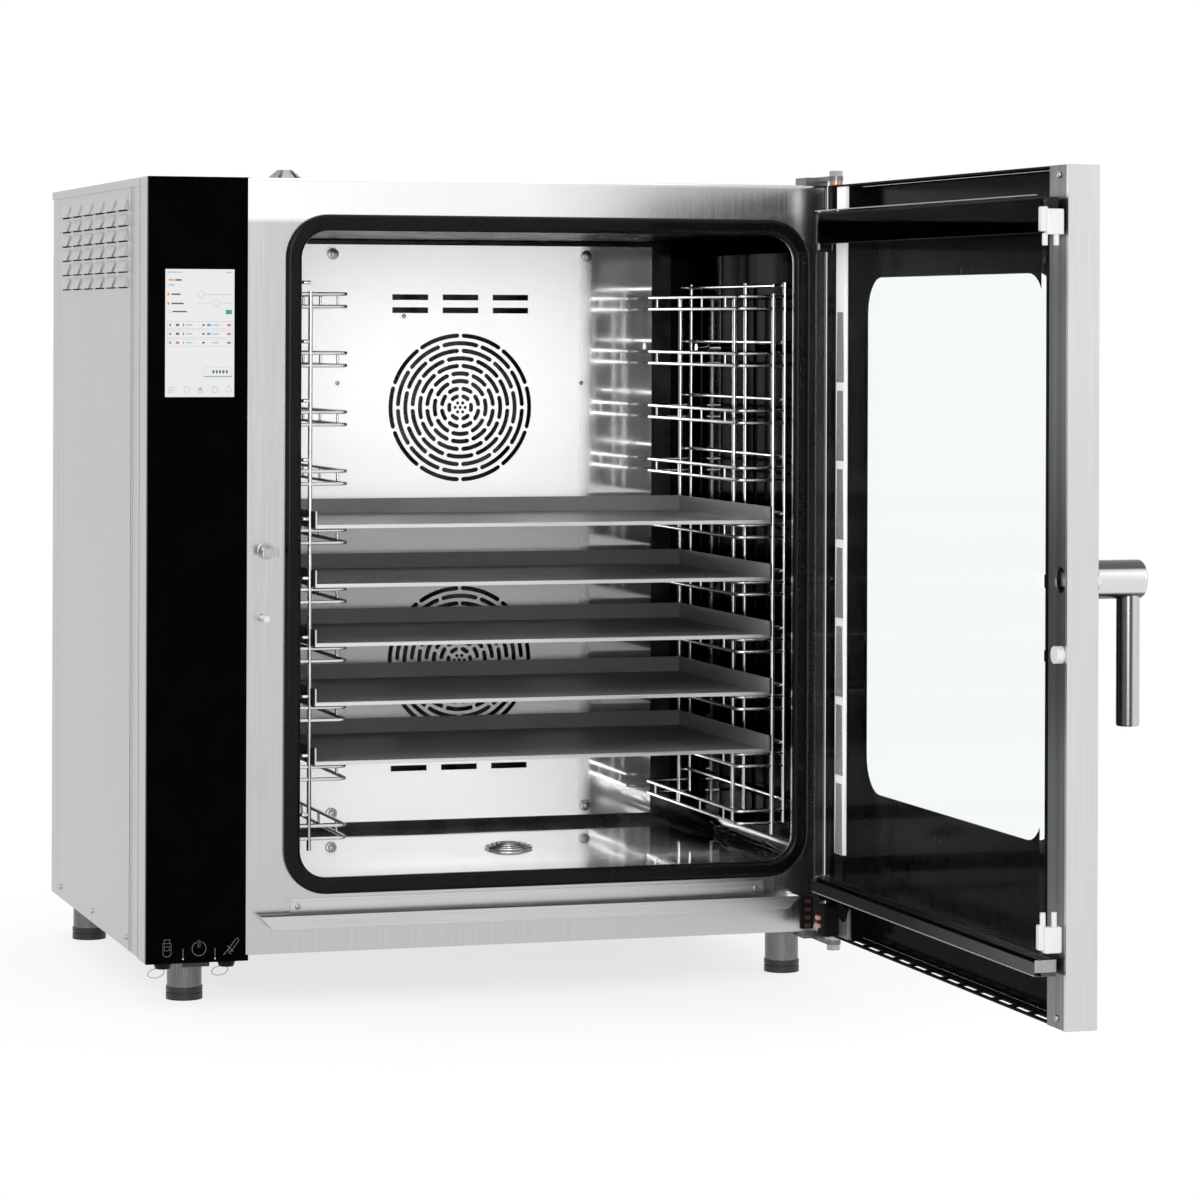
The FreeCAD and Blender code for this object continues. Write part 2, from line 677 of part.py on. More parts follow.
def front_frame():
    block = box(CONTROL_WIDTH, WIDTH, 0, HOUSING_BAND, FRAME_BOTTOM_Z, TOP_Z)
    rounded = []
    for edge in block.Edges:
        middle = edge.CenterOfMass
        on_top = abs(middle.z - TOP_Z) < SEAT_GAP
        on_right = abs(middle.x - WIDTH) < SEAT_GAP
        if abs(middle.y) < SEAT_GAP and (on_top or on_right):
            rounded.append(edge)
    block = block.makeFillet(FRAME_ROUND, rounded)
    inside = box(
        CONTROL_WIDTH + FRAME_SHEET,
        WIDTH - FRAME_SHEET,
        FRAME_SHEET,
        HOUSING_BAND + FRAME_SHEET,
        FRAME_BOTTOM_Z + FRAME_SHEET,
        TOP_Z - FRAME_SHEET,
    )
    opening = rounded_block(
        OPENING_LEFT,
        OPENING_RIGHT,
        -FRAME_SHEET,
        2 * FRAME_SHEET,
        OPENING_BOTTOM_Z,
        OPENING_TOP_Z,
        OPENING_ROUND,
    )
    plunger_hole = rod_y(SWITCH_X, -FRAME_SHEET, 2 * FRAME_SHEET, SWITCH_Z, PLUNGER_RADIUS + SHAFT_GAP)
    return frame_members(cut(block, [inside, opening, plunger_hole]))


def frame_members(sheet):
    # Two stiles, a head and a sill, welded to fillet pieces in the four corners
    tall = (0, HOUSING_BAND, 0, TOP_Z)
    members = [
        sheet.common(box(0, OPENING_LEFT, *tall)),
        sheet.common(box(OPENING_RIGHT, WIDTH, *tall)),
        sheet.common(box(OPENING_LEFT, OPENING_RIGHT, 0, HOUSING_BAND, OPENING_TOP_Z, TOP_Z)),
        sheet.common(box(OPENING_LEFT, OPENING_RIGHT, 0, HOUSING_BAND, 0, OPENING_BOTTOM_Z)),
    ]
    fillets = sheet.common(
        box(OPENING_LEFT, OPENING_RIGHT, 0, HOUSING_BAND, OPENING_BOTTOM_Z, OPENING_TOP_Z)
    )
    left = OPENING_LEFT + OPENING_ROUND
    right = OPENING_RIGHT - OPENING_ROUND
    low = OPENING_BOTTOM_Z + OPENING_ROUND
    high = OPENING_TOP_Z - OPENING_ROUND
    for corner, (x, z) in enumerate(((right, high), (left, high), (left, low), (right, low))):
        for i in range(FILLET_PIECES):
            start = corner * QUARTER_TURN + i * FILLET_ANGLE
            members.append(fillets.common(fillet_sector(x, z, start)))
    return Part.makeCompound([member for piece in members for member in piece.Solids])


def fillet_sector(x, z, start):
    reach = 2 * OPENING_ROUND
    points = [Vector(x, 0, z)]
    for degrees in (start, start + FILLET_ANGLE):
        angle = math.radians(degrees)
        points.append(Vector(x + reach * math.cos(angle), 0, z + reach * math.sin(angle)))
    return prism(points, Vector(0, HOUSING_BAND, 0))


def door_gasket():
    outer = rounded_block(
        OPENING_LEFT - GASKET_WIDTH,
        OPENING_RIGHT + GASKET_WIDTH,
        -GASKET_PROUD,
        0,
        OPENING_BOTTOM_Z - GASKET_WIDTH,
        OPENING_TOP_Z + GASKET_WIDTH,
        OPENING_ROUND + GASKET_WIDTH,
    )
    inner = rounded_block(
        OPENING_LEFT,
        OPENING_RIGHT,
        -2 * GASKET_PROUD,
        GASKET_PROUD,
        OPENING_BOTTOM_Z,
        OPENING_TOP_Z,
        OPENING_ROUND,
    )
    ring = outer.cut(inner)
    bulb_edges = [e for e in ring.Edges if abs(e.BoundBox.YMax + GASKET_PROUD) < SEAT_GAP]
    return ring.makeFillet(GASKET_ROUND, bulb_edges)


# Control column


def control_housing():
    band = box(0, CONTROL_WIDTH, CONTROL_GLASS, HOUSING_BAND, SKIRT_Z, TOP_Z)
    inside = box(SHEET, CONTROL_WIDTH - SHEET, 0, DEPTH, SKIRT_Z + SHEET, LID_UNDER_Z)
    pillar = box(SIDE_X, SIDE_INNER_X, HOUSING_BAND - SHEET, PILLAR_Y, SKIRT_Z, LID_UNDER_Z)
    shell = fuse([band.cut(inside), pillar])
    holes = [rod_z(x, PORT_Y, 0, TOP_Z / 2, PLUG_RADIUS + HOLE_GAP) for x in (USB_X, PROBE_X)]
    holes.append(
        box(
            POWER_X - BUTTON_WIDTH / 2 - HOLE_GAP,
            POWER_X + BUTTON_WIDTH / 2 + HOLE_GAP,
            PORT_Y - BUTTON_DEPTH / 2 - HOLE_GAP,
            PORT_Y + BUTTON_DEPTH / 2 + HOLE_GAP,
            0,
            TOP_Z / 2,
        )
    )
    return cut(shell, holes)


def control_glass():
    return box(0, CONTROL_WIDTH, 0, CONTROL_GLASS, SKIRT_Z, TOP_Z)


def touch_display():
    return box(
        DISPLAY_LEFT - DISPLAY_BEZEL,
        DISPLAY_LEFT + DISPLAY_WIDTH + DISPLAY_BEZEL,
        CONTROL_GLASS,
        CONTROL_GLASS + DISPLAY_DEPTH,
        DISPLAY_BOTTOM_Z - DISPLAY_BEZEL,
        DISPLAY_BOTTOM_Z + DISPLAY_HEIGHT + DISPLAY_BEZEL,
    )


def port_cap(x):
    top_z = SKIRT_Z - SEAT_GAP
    cone = Part.makeCone(CAP_TIP_RADIUS, CAP_RADIUS, CAP_HEIGHT, Vector(x, PORT_Y, top_z - CAP_HEIGHT))
    plug = rod_z(x, PORT_Y, top_z, top_z + PLUG_LENGTH, PLUG_RADIUS)
    return fuse([cone, plug])


def power_button():
    half_width = BUTTON_WIDTH / 2
    half_depth = BUTTON_DEPTH / 2
    rim_z = SKIRT_Z + SHEET + SEAT_GAP
    key = box(
        POWER_X - half_width,
        POWER_X + half_width,
        PORT_Y - half_depth,
        PORT_Y + half_depth,
        SKIRT_Z - BUTTON_PROUD,
        rim_z,
    )
    rim = box(
        POWER_X - half_width - BUTTON_RIM,
        POWER_X + half_width + BUTTON_RIM,
        PORT_Y - half_depth - BUTTON_RIM,
        PORT_Y + half_depth + BUTTON_RIM,
        rim_z,
        rim_z + BUTTON_RIM,
    )
    return fuse([key, rim])


def power_board():
    plate_x = BOARD_PLATE_X + SHEET
    floor_z = SKIRT_Z + SHEET
    plate = box(BOARD_PLATE_X, plate_x, BOARD_FRONT_Y, BOARD_BACK_Y, floor_z, BOARD_TOP_Z)
    foot_x = BOARD_PLATE_X + BOARD_FOOT
    foot = box(BOARD_PLATE_X, foot_x, BOARD_FRONT_Y, BOARD_BACK_Y, floor_z, floor_z + SHEET)
    blocks = []
    for i in range(BLOCK_COUNT):
        z = BOARD_TOP_Z - (i + 1) * BLOCK_PITCH
        y = BOARD_FRONT_Y + BLOCK_LENGTH
        blocks.append(box(plate_x, plate_x + BLOCK_DEPTH, y, y + BLOCK_LENGTH, z, z + BLOCK_HEIGHT))
    return fuse([plate, foot] + blocks)


def cooling_fan_frame():
    half = COOLER_SIZE / 2
    front_y = REAR_INNER_Y - COOLER_DEPTH
    body = box(COOLER_X - half, COOLER_X + half, front_y, REAR_INNER_Y, COOLER_Z - half, COOLER_Z + half)
    shell = body.cut(rod_y(COOLER_X, 0, DEPTH, COOLER_Z, COOLER_BORE))
    strut_y = REAR_INNER_Y - COOLER_STRUT
    strut = COOLER_STRUT / 2
    cross = [
        box(COOLER_X - half, COOLER_X + half, strut_y, REAR_INNER_Y, COOLER_Z - strut, COOLER_Z + strut),
        box(COOLER_X - strut, COOLER_X + strut, strut_y, REAR_INNER_Y, COOLER_Z - half, COOLER_Z + half),
        rod_y(COOLER_X, strut_y, REAR_INNER_Y, COOLER_Z, COOLER_HUB),
        rod_y(COOLER_X, front_y, REAR_INNER_Y, COOLER_Z, COOLER_AXLE),
    ]
    return fuse([shell] + cross)


def cooling_fan_rotor():
    front_y = REAR_INNER_Y - COOLER_DEPTH + COOLER_STRUT
    back_y = REAR_INNER_Y - COOLER_STRUT - SEAT_GAP
    hub = rod_y(COOLER_X, front_y, back_y, COOLER_Z, COOLER_HUB)
    middle_y = (front_y + back_y) / 2
    half_chord = COOLER_BLADE_CHORD / 2
    blade = box(-SHEET / 2, SHEET / 2, -half_chord, half_chord, 0, COOLER_BLADE_TIP)
    blade.rotate(Vector(0, 0, 0), Z_AXIS, COOLER_BLADE_PITCH)
    blades = []
    for i in range(COOLER_BLADES):
        turned = blade.copy()
        turned.rotate(Vector(0, 0, 0), Y_AXIS, 360 * i / COOLER_BLADES)
        blades.append(turned.translated(Vector(COOLER_X, middle_y, COOLER_Z)))
    bore = rod_y(COOLER_X, 0, DEPTH, COOLER_Z, COOLER_AXLE + SHAFT_GAP)
    return fuse([hub] + blades).cut(bore)


# Cavity


def cove(x, z, towards_x, towards_z):
    # A rounded inner corner along the depth of the cavity
    square = box(
        min(x, x + towards_x * COVE_RADIUS),
        max(x, x + towards_x * COVE_RADIUS),
        FRAME_SHEET,
        CAVITY_BACK_Y,
        min(z, z + towards_z * COVE_RADIUS),
        max(z, z + towards_z * COVE_RADIUS),
    )
    centre_x = x + towards_x * COVE_RADIUS
    centre_z = z + towards_z * COVE_RADIUS
    return square.cut(rod_y(centre_x, 0, DEPTH, centre_z, COVE_RADIUS))


def keeper_z(level):
    return RACK_LEVEL_Z + level * RACK_PITCH + RACK_LOOP_GAP / 2 + RACK_KEEPER_RISE


def rack_stud_places():
    drop = WIRE_FLAT + SEAT_GAP + RACK_STUD_RADIUS
    depths = (RACK_FRONT_Y + RACK_STUD_INSET_Y, RACK_BACK_Y - RACK_STUD_INSET_Y)
    return [(y, keeper_z(level) - drop) for level in RACK_STUD_LEVELS for y in depths]


def cavity_side_wall(face_x, outward, post_x):
    outer_x = face_x + outward * SHEET
    wall = box(
        min(face_x, outer_x),
        max(face_x, outer_x),
        FRAME_SHEET,
        CAVITY_BACK_Y,
        CAVITY_FLOOR_Z - SHEET,
        CAVITY_CEILING_Z + SHEET,
    )
    end_x = post_x - outward * WIRE_RADIUS
    studs = [
        rod_x(min(face_x, end_x), max(face_x, end_x), y, z, RACK_STUD_RADIUS) for y, z in rack_stud_places()
    ]
    return Part.makeCompound([wall] + studs)


def cavity_floor():
    plate = box(
        CAVITY_LEFT, CAVITY_RIGHT, FRAME_SHEET, CAVITY_BACK_Y, CAVITY_FLOOR_Z - SHEET, CAVITY_FLOOR_Z
    )
    coves = [cove(CAVITY_LEFT, CAVITY_FLOOR_Z, 1, 1), cove(CAVITY_RIGHT, CAVITY_FLOOR_Z, -1, 1)]
    drain_hole = rod_z(DRAIN_X, DRAIN_Y, 0, TOP_Z, DRAIN_PIPE_RADIUS - DRAIN_PIPE_WALL)
    return Part.makeCompound([plate.cut(drain_hole)] + coves)


def cavity_ceiling():
    plate = box(
        CAVITY_LEFT, CAVITY_RIGHT, FRAME_SHEET, CAVITY_BACK_Y, CAVITY_CEILING_Z, CAVITY_CEILING_Z + SHEET
    )
    coves = [cove(CAVITY_LEFT, CAVITY_CEILING_Z, 1, -1), cove(CAVITY_RIGHT, CAVITY_CEILING_Z, -1, -1)]
    vent_hole = rod_z(VENT_X, VENT_Y, 0, TOP_Z, VENT_PIPE_RADIUS - VENT_PIPE_WALL)
    return Part.makeCompound([plate.cut(vent_hole)] + coves)


def baffle_stud_places():
    sides = (BAFFLE_LEFT + BAFFLE_STUD_INSET_X, BAFFLE_RIGHT - BAFFLE_STUD_INSET_X)
    heights = (BAFFLE_BOTTOM_Z + BAFFLE_STUD_INSET_Z, BAFFLE_TOP_Z - BAFFLE_STUD_INSET_Z)
    return [(x, z) for x in sides for z in heights]


def cavity_rear_wall():
    outline = rectangle_wire(
        CAVITY_LEFT - SHEET,
        CAVITY_RIGHT + SHEET,
        CAVITY_FLOOR_Z - SHEET,
        CAVITY_CEILING_Z + SHEET,
        CAVITY_BACK_Y,
    )
    holes = [
        circle_wire(FAN_X, CAVITY_BACK_Y, FAN_UPPER_Z, SHAFT_RADIUS + SHAFT_GAP),
        circle_wire(FAN_X, CAVITY_BACK_Y, FAN_LOWER_Z, SHAFT_RADIUS + SHAFT_GAP),
        circle_wire(VALVE_X, CAVITY_BACK_Y, STEAM_TOP_Z, STEAM_PIPE_RADIUS + SEAT_GAP),
    ]
    wall = holed_sheet(outline, holes, Vector(0, SHEET, 0))
    stud_y = BAFFLE_Y + SHEET
    studs = [rod_y(x, stud_y, CAVITY_BACK_Y, z, BAFFLE_STUD_RADIUS) for x, z in baffle_stud_places()]
    return Part.makeCompound([wall] + studs)


def cavity_insulation():
    outer = box(
        CAVITY_LEFT - SHEET - WOOL_SIDE,
        CAVITY_RIGHT + SHEET + WOOL_SIDE,
        FRAME_SHEET + WOOL_FRONT_GAP,
        CAVITY_WALL_BACK_Y + WOOL_BACK,
        CAVITY_FLOOR_Z - SHEET - WOOL_BOTTOM,
        CAVITY_CEILING_Z + SHEET + WOOL_TOP,
    )
    inside = box(
        CAVITY_LEFT - SHEET,
        CAVITY_RIGHT + SHEET,
        0,
        CAVITY_WALL_BACK_Y,
        CAVITY_FLOOR_Z - SHEET,
        CAVITY_CEILING_Z + SHEET,
    )
    passages = [
        rod_y(FAN_X, CAVITY_BACK_Y, DEPTH, FAN_UPPER_Z, MOTOR_NOSE_RADIUS + HOLE_GAP),
        rod_y(FAN_X, CAVITY_BACK_Y, DEPTH, FAN_LOWER_Z, MOTOR_NOSE_RADIUS + HOLE_GAP),
        rod_y(VALVE_X, CAVITY_BACK_Y, DEPTH, STEAM_TOP_Z, STEAM_PIPE_RADIUS + HOLE_GAP),
        rod_z(DRAIN_X, DRAIN_Y, 0, CAVITY_FLOOR_Z, DRAIN_PIPE_RADIUS + PASSAGE_GAP),
        rod_z(VENT_X, VENT_Y, CAVITY_CEILING_Z, TOP_Z, VENT_PIPE_RADIUS + HOLE_GAP),
    ]
    return cut(outer, [inside] + passages)


# Fans and baffle


def grille_slots(middle_z):
    # Rings of arc slots round a cluster of small holes
    slots = []
    for ring in range(GRILLE_RINGS):
        radius = GRILLE_RADIUS - ring * GRILLE_RING_PITCH
        count = ring_slots(ring)
        half = math.pi / count - GRILLE_BRIDGE / 2 / radius
        offset = (ring % 2) * math.pi / count
        for i in range(count):
            middle = 2 * math.pi * i / count + offset
            slots.append(arc_slot(middle_z, radius, middle - half, middle + half))
    slots.append(hexagon_wire(FAN_X, BAFFLE_Y, middle_z, GRILLE_CENTRE_HOLE))
    for i in range(GRILLE_CENTRE_HOLES):
        angle = 2 * math.pi * i / GRILLE_CENTRE_HOLES
        x = FAN_X + GRILLE_CENTRE_RADIUS * math.cos(angle)
        z = middle_z + GRILLE_CENTRE_RADIUS * math.sin(angle)
        slots.append(hexagon_wire(x, BAFFLE_Y, z, GRILLE_CENTRE_HOLE))
    return slots


def ring_slots(ring):
    # Fewer and shorter slots in the small rings
    if ring == GRILLE_RINGS - 1:
        return GRILLE_INNER_SLOTS
    if ring >= GRILLE_RINGS - 1 - GRILLE_MIDDLE_RINGS:
        return GRILLE_MIDDLE_SLOTS
    return GRILLE_OUTER_SLOTS


def arc_slot(middle_z, radius, start, end):
    def point(r, angle):
        return Vector(FAN_X + r * math.cos(angle), BAFFLE_Y, middle_z + r * math.sin(angle))

    # The ends are rounded off by small chamfers
    inner = radius - GRILLE_SLOT / 2
    outer = radius + GRILLE_SLOT / 2
    middle = (start + end) / 2
    nose = GRILLE_SLOT / 3 / radius
    near = start + nose
    far = end - nose
    low = radius - GRILLE_SLOT / 6
    high = radius + GRILLE_SLOT / 6
    edges = [Part.Arc(point(inner, near), point(inner, middle), point(inner, far)).toShape()]
    edges += chain([point(inner, far), point(low, end), point(high, end), point(outer, far)])
    edges.append(Part.Arc(point(outer, far), point(outer, middle), point(outer, near)).toShape())
    edges += chain([point(outer, near), point(high, start), point(low, start), point(inner, near)])
    return Part.Wire(edges)


def air_slots():
    slots = []
    top_z = BAFFLE_TOP_Z - AIR_SLOT_EDGE
    bottom_z = BAFFLE_BOTTOM_Z + AIR_SLOT_EDGE
    rows = (top_z, top_z - AIR_SLOT_PITCH_Z, bottom_z, bottom_z + AIR_SLOT_PITCH_Z)
    for column in (-1, 0, 1):
        x = FAN_X + column * AIR_SLOT_PITCH_X
        for z in rows:
            half = AIR_SLOT_LENGTH / 2
            rise = AIR_SLOT_HEIGHT / 2
            slots.append(rectangle_wire(x - half, x + half, z - rise, z + rise, BAFFLE_Y))
    return slots


def fan_baffle():
    outline = rectangle_wire(BAFFLE_LEFT, BAFFLE_RIGHT, BAFFLE_BOTTOM_Z, BAFFLE_TOP_Z, BAFFLE_Y)
    holes = grille_slots(FAN_UPPER_Z) + grille_slots(FAN_LOWER_Z) + air_slots()
    plate = holed_sheet(outline, holes, Vector(0, SHEET, 0))
    back_y = BAFFLE_Y + SHEET + BAFFLE_FLANGE
    flanges = [
        box(x, x + SHEET, BAFFLE_Y + SHEET, back_y, BAFFLE_BOTTOM_Z, BAFFLE_TOP_Z)
        for x in (BAFFLE_LEFT, BAFFLE_RIGHT - SHEET)
    ]
    return fuse([plate] + flanges)


def fan_wheel(middle_z):
    disc = rod_y(FAN_X, WHEEL_BACK_Y - WHEEL_DISC, WHEEL_BACK_Y, middle_z, WHEEL_RADIUS)
    ring = rod_y(FAN_X, WHEEL_FRONT_Y, WHEEL_FRONT_Y + WHEEL_DISC, middle_z, WHEEL_RADIUS).cut(
        rod_y(FAN_X, 0, DEPTH, middle_z, WHEEL_RADIUS - WHEEL_RING_WIDTH)
    )
    hub = rod_y(FAN_X, WHEEL_FRONT_Y, WHEEL_BACK_Y, middle_z, WHEEL_HUB_RADIUS)
    shaft_end = CAVITY_WALL_BACK_Y + SHAFT_IN_MOTOR
    shaft = rod_y(FAN_X, WHEEL_FRONT_Y - SHAFT_NOSE, shaft_end, middle_z, SHAFT_RADIUS)
    blades = []
    for i in range(WHEEL_BLADES):
        blade = box(
            FAN_X - SHEET / 2,
            FAN_X + SHEET / 2,
            WHEEL_FRONT_Y,
            WHEEL_BACK_Y,
            middle_z + WHEEL_BLADE_INNER,
            middle_z + WHEEL_RADIUS - SHEET,
        )
        blade.rotate(Vector(FAN_X, 0, middle_z), Y_AXIS, 360 * i / WHEEL_BLADES)
        blades.append(blade)
    return fuse([disc, ring, hub, shaft] + blades)


def fan_motor(middle_z):
    nose_end = CAVITY_WALL_BACK_Y + MOTOR_NOSE
    nose = rod_y(FAN_X, CAVITY_WALL_BACK_Y, nose_end, middle_z, MOTOR_NOSE_RADIUS)
    body = rod_y(FAN_X, nose_end, nose_end + MOTOR_LENGTH, middle_z, MOTOR_RADIUS)
    bore_end = CAVITY_WALL_BACK_Y + SHAFT_IN_MOTOR + SEAT_GAP
    bore = rod_y(FAN_X, CAVITY_BACK_Y, bore_end, middle_z, SHAFT_RADIUS + SHAFT_GAP)
    return fuse([nose, body]).cut(bore)


def heating_element(middle_z):
    # A ring of six-sided rod with two legs to the rear wall
    points = []
    for i in range(6):
        angle = math.radians(60 * i)
        x = FAN_X + HEATER_RADIUS + HEATER_ROD * math.cos(angle)
        points.append(Vector(x, HEATER_Y + HEATER_ROD * math.sin(angle), middle_z))
    section = Part.Face(Part.makePolygon(points + points[:1]))
    ring = section.revolve(Vector(FAN_X, HEATER_Y, middle_z), Y_AXIS, 360)
    leg_z = middle_z - math.sqrt(HEATER_RADIUS**2 - HEATER_LEG_SPREAD**2)
    half = HEATER_ROD / 2
    legs = []
    for side in (-1, 1):
        x = FAN_X + side * HEATER_LEG_SPREAD
        legs.append(box(x - half, x + half, HEATER_Y, CAVITY_BACK_Y, leg_z - half, leg_z + half))
    return fuse([ring] + legs)


# Tray racks and trays


def rack_loop(side):
    # Two wire loops, one above the other, tied by short links
    start_x = RACK_MID_X + side * (RACK_POST - WIRE_FLAT)
    reach_x = RACK_MID_X + side * RACK_REACH
    bars = []
    for z in (RACK_LEVEL_Z - RACK_LOOP_GAP / 2, RACK_LEVEL_Z + RACK_LOOP_GAP / 2):
        for y in (RACK_FRONT_Y, RACK_BACK_Y):
            end_x = reach_x - side * WIRE_RADIUS
            bars.append(hexagon_bar(Vector(start_x, y, z), Vector(end_x, y, z), Z_AXIS))
        run_start = Vector(reach_x, RACK_FRONT_Y - WIRE_RADIUS, z)
        run_end = Vector(reach_x, RACK_BACK_Y + WIRE_RADIUS, z)
        bars.append(hexagon_bar(run_start, run_end, Z_AXIS))
    half_link = WIRE_RADIUS / 2
    link_pitch = (RACK_BACK_Y - RACK_FRONT_Y) / (RACK_LINKS + 1)
    for i in range(RACK_LINKS):
        y = RACK_FRONT_Y + (i + 1) * link_pitch
        bars.append(
            box(
                reach_x - half_link,
                reach_x + half_link,
                y - half_link,
                y + half_link,
                RACK_LEVEL_Z - RACK_LOOP_GAP / 2,
                RACK_LEVEL_Z + RACK_LOOP_GAP / 2,
            )
        )
    return fuse(bars)


def rack_frame(side):
    # The upright wires and the long wires that the wall studs carry
    x = RACK_MID_X + side * RACK_POST
    bottom_z = RACK_LEVEL_Z - RACK_FOOT_DROP
    top_z = keeper_z(RACK_LEVELS - 1) + RACK_HEAD_RISE
    bars = []
    for y in (RACK_FRONT_Y, RACK_MIDDLE_Y, RACK_BACK_Y):
        bars.append(hexagon_bar(Vector(x, y, bottom_z), Vector(x, y, top_z), X_AXIS))
    for level in range(RACK_LEVELS):
        z = keeper_z(level)
        bars.append(hexagon_bar(Vector(x, RACK_FRONT_Y, z), Vector(x, RACK_BACK_Y, z), Z_AXIS))
    return fuse(bars)


def tray_rack(side):
    loop = rack_loop(side)
    loops = [loop.translated(Vector(0, 0, level * RACK_PITCH)) for level in range(RACK_LEVELS)]
    return Part.makeCompound([rack_frame(side)] + loops)


def tray(number):
    level = TRAY_FIRST_LEVEL + number
    wire_z = RACK_LEVEL_Z + level * RACK_PITCH + RACK_LOOP_GAP / 2
    bottom_z = wire_z + WIRE_FLAT + SEAT_GAP
    left = RACK_MID_X - TRAY_WIDTH / 2
    right = RACK_MID_X + TRAY_WIDTH / 2
    back_y = TRAY_FRONT_Y + TRAY_DEPTH
    outer = box(left, right, TRAY_FRONT_Y, back_y, bottom_z, bottom_z + TRAY_RIM)
    inner = box(
        left + TRAY_SHEET,
        right - TRAY_SHEET,
        TRAY_FRONT_Y + TRAY_SHEET,
        back_y - TRAY_SHEET,
        bottom_z + TRAY_SHEET,
        bottom_z + 2 * TRAY_RIM,
    )
    low_front = box(
        left + TRAY_SHEET,
        right - TRAY_SHEET,
        TRAY_FRONT_Y - TRAY_SHEET,
        back_y - TRAY_SHEET,
        bottom_z + TRAY_FRONT_LIP,
        bottom_z + 2 * TRAY_RIM,
    )
    return cut(outer, [inner, low_front])


# Water, steam, drain and vent


def drain_pipe():
    # A drop with its bend, a run to the rear panel and a wider outlet outside
    bend_y = DRAIN_Y + DRAIN_BEND
    points = [
        Vector(DRAIN_X, DRAIN_Y, CAVITY_FLOOR_Z - SHEET),
        Vector(DRAIN_X, DRAIN_Y, DRAIN_RUN_Z),
        Vector(DRAIN_X, bend_y + DRAIN_BEND, DRAIN_RUN_Z),
    ]
    bore = DRAIN_PIPE_RADIUS - DRAIN_PIPE_WALL
    drop = pipe(points, DRAIN_BEND, DRAIN_PIPE_RADIUS).cut(pipe(points, DRAIN_BEND, bore))
    run = rod_y(DRAIN_X, points[-1].y, REAR_Y, DRAIN_RUN_Z, DRAIN_PIPE_RADIUS)
    outlet = rod_y(DRAIN_X, REAR_Y, REAR_Y + DRAIN_STUB, DRAIN_RUN_Z, DRAIN_STUB_RADIUS)
    through = rod_y(DRAIN_X, 0, 2 * DEPTH, DRAIN_RUN_Z, bore)
    return Part.makeCompound([drop, run.cut(through), outlet.cut(through)])


def drain_strainer():
    bottom_z = CAVITY_FLOOR_Z + SEAT_GAP
    rim = rod_z(DRAIN_X, DRAIN_Y, bottom_z, bottom_z + STRAINER_RIM, STRAINER_RADIUS)
    crown = Part.makeCone(
        STRAINER_RADIUS,
        STRAINER_HOLE_CIRCLE + 2 * STRAINER_HOLE_RADIUS,
        STRAINER_HEIGHT - STRAINER_RIM,
        Vector(DRAIN_X, DRAIN_Y, bottom_z + STRAINER_RIM),
    )
    holes = []
    for i in range(STRAINER_HOLES):
        angle = 2 * math.pi * i / STRAINER_HOLES
        x = DRAIN_X + STRAINER_HOLE_CIRCLE * math.cos(angle)
        y = DRAIN_Y + STRAINER_HOLE_CIRCLE * math.sin(angle)
        holes.append(rod_z(x, y, 0, TOP_Z, STRAINER_HOLE_RADIUS))
    return cut(fuse([rim, crown]), holes)


def vent_chimney():
    foot_z = CAVITY_CEILING_Z + SHEET
    pipe_top = TOP_Z + VENT_CAP_SIDE
    cap_top = pipe_top + VENT_CAP_CROWN
    tube = rod_z(VENT_X, VENT_Y, foot_z, pipe_top, VENT_PIPE_RADIUS)
    skirt = rod_z(VENT_X, VENT_Y, TOP_Z, pipe_top, VENT_CAP_RADIUS)
    crown_foot = Vector(VENT_X, VENT_Y, pipe_top)
    crown = Part.makeCone(VENT_CAP_RADIUS, VENT_CAP_TOP_RADIUS, VENT_CAP_CROWN, crown_foot)
    bore = rod_z(VENT_X, VENT_Y, 0, pipe_top, VENT_PIPE_RADIUS - VENT_PIPE_WALL)
    slots = []
    for i in range(VENT_SLOTS):
        half_slot = VENT_SLOT / 2
        slot = box(-VENT_CAP_RADIUS, VENT_CAP_RADIUS, -half_slot, half_slot, pipe_top, cap_top)
        slot.rotate(Vector(0, 0, 0), Z_AXIS, 180 * i / VENT_SLOTS)
        half = slot.translated(Vector(VENT_X, VENT_Y, 0))
        slots.append(half.cut(rod_z(VENT_X, VENT_Y, 0, 2 * TOP_Z, VENT_CAP_TOP_RADIUS)))
    return cut(fuse([tube, skirt, crown]), [bore] + slots)


def water_valve():
    half = VALVE_SIZE / 2
    front_y = REAR_INNER_Y - VALVE_SIZE
    body = box(VALVE_X - half, VALVE_X + half, front_y, REAR_INNER_Y, VALVE_Z - half, VALVE_Z + half)
    end_y = REAR_Y + INLET_LENGTH
    neck = rod_y(VALVE_X, REAR_INNER_Y, REAR_Y, VALVE_Z, INLET_NECK_RADIUS)
    collar = rod_y(VALVE_X, REAR_Y, end_y, VALVE_Z, INLET_RADIUS)
    inlet = fuse([neck, collar]).cut(rod_y(VALVE_X, REAR_INNER_Y, end_y, VALVE_Z, INLET_BORE))
    return Part.makeCompound([body, inlet])


def steam_pipe():
    y = REAR_INNER_Y - VALVE_SIZE / 2
    points = [
        Vector(VALVE_X, y, VALVE_Z + VALVE_SIZE / 2),
        Vector(VALVE_X, y, STEAM_TOP_Z),
        Vector(VALVE_X, STEAM_END_Y, STEAM_TOP_Z),
    ]
    return pipe(points, STEAM_BEND, STEAM_PIPE_RADIUS)


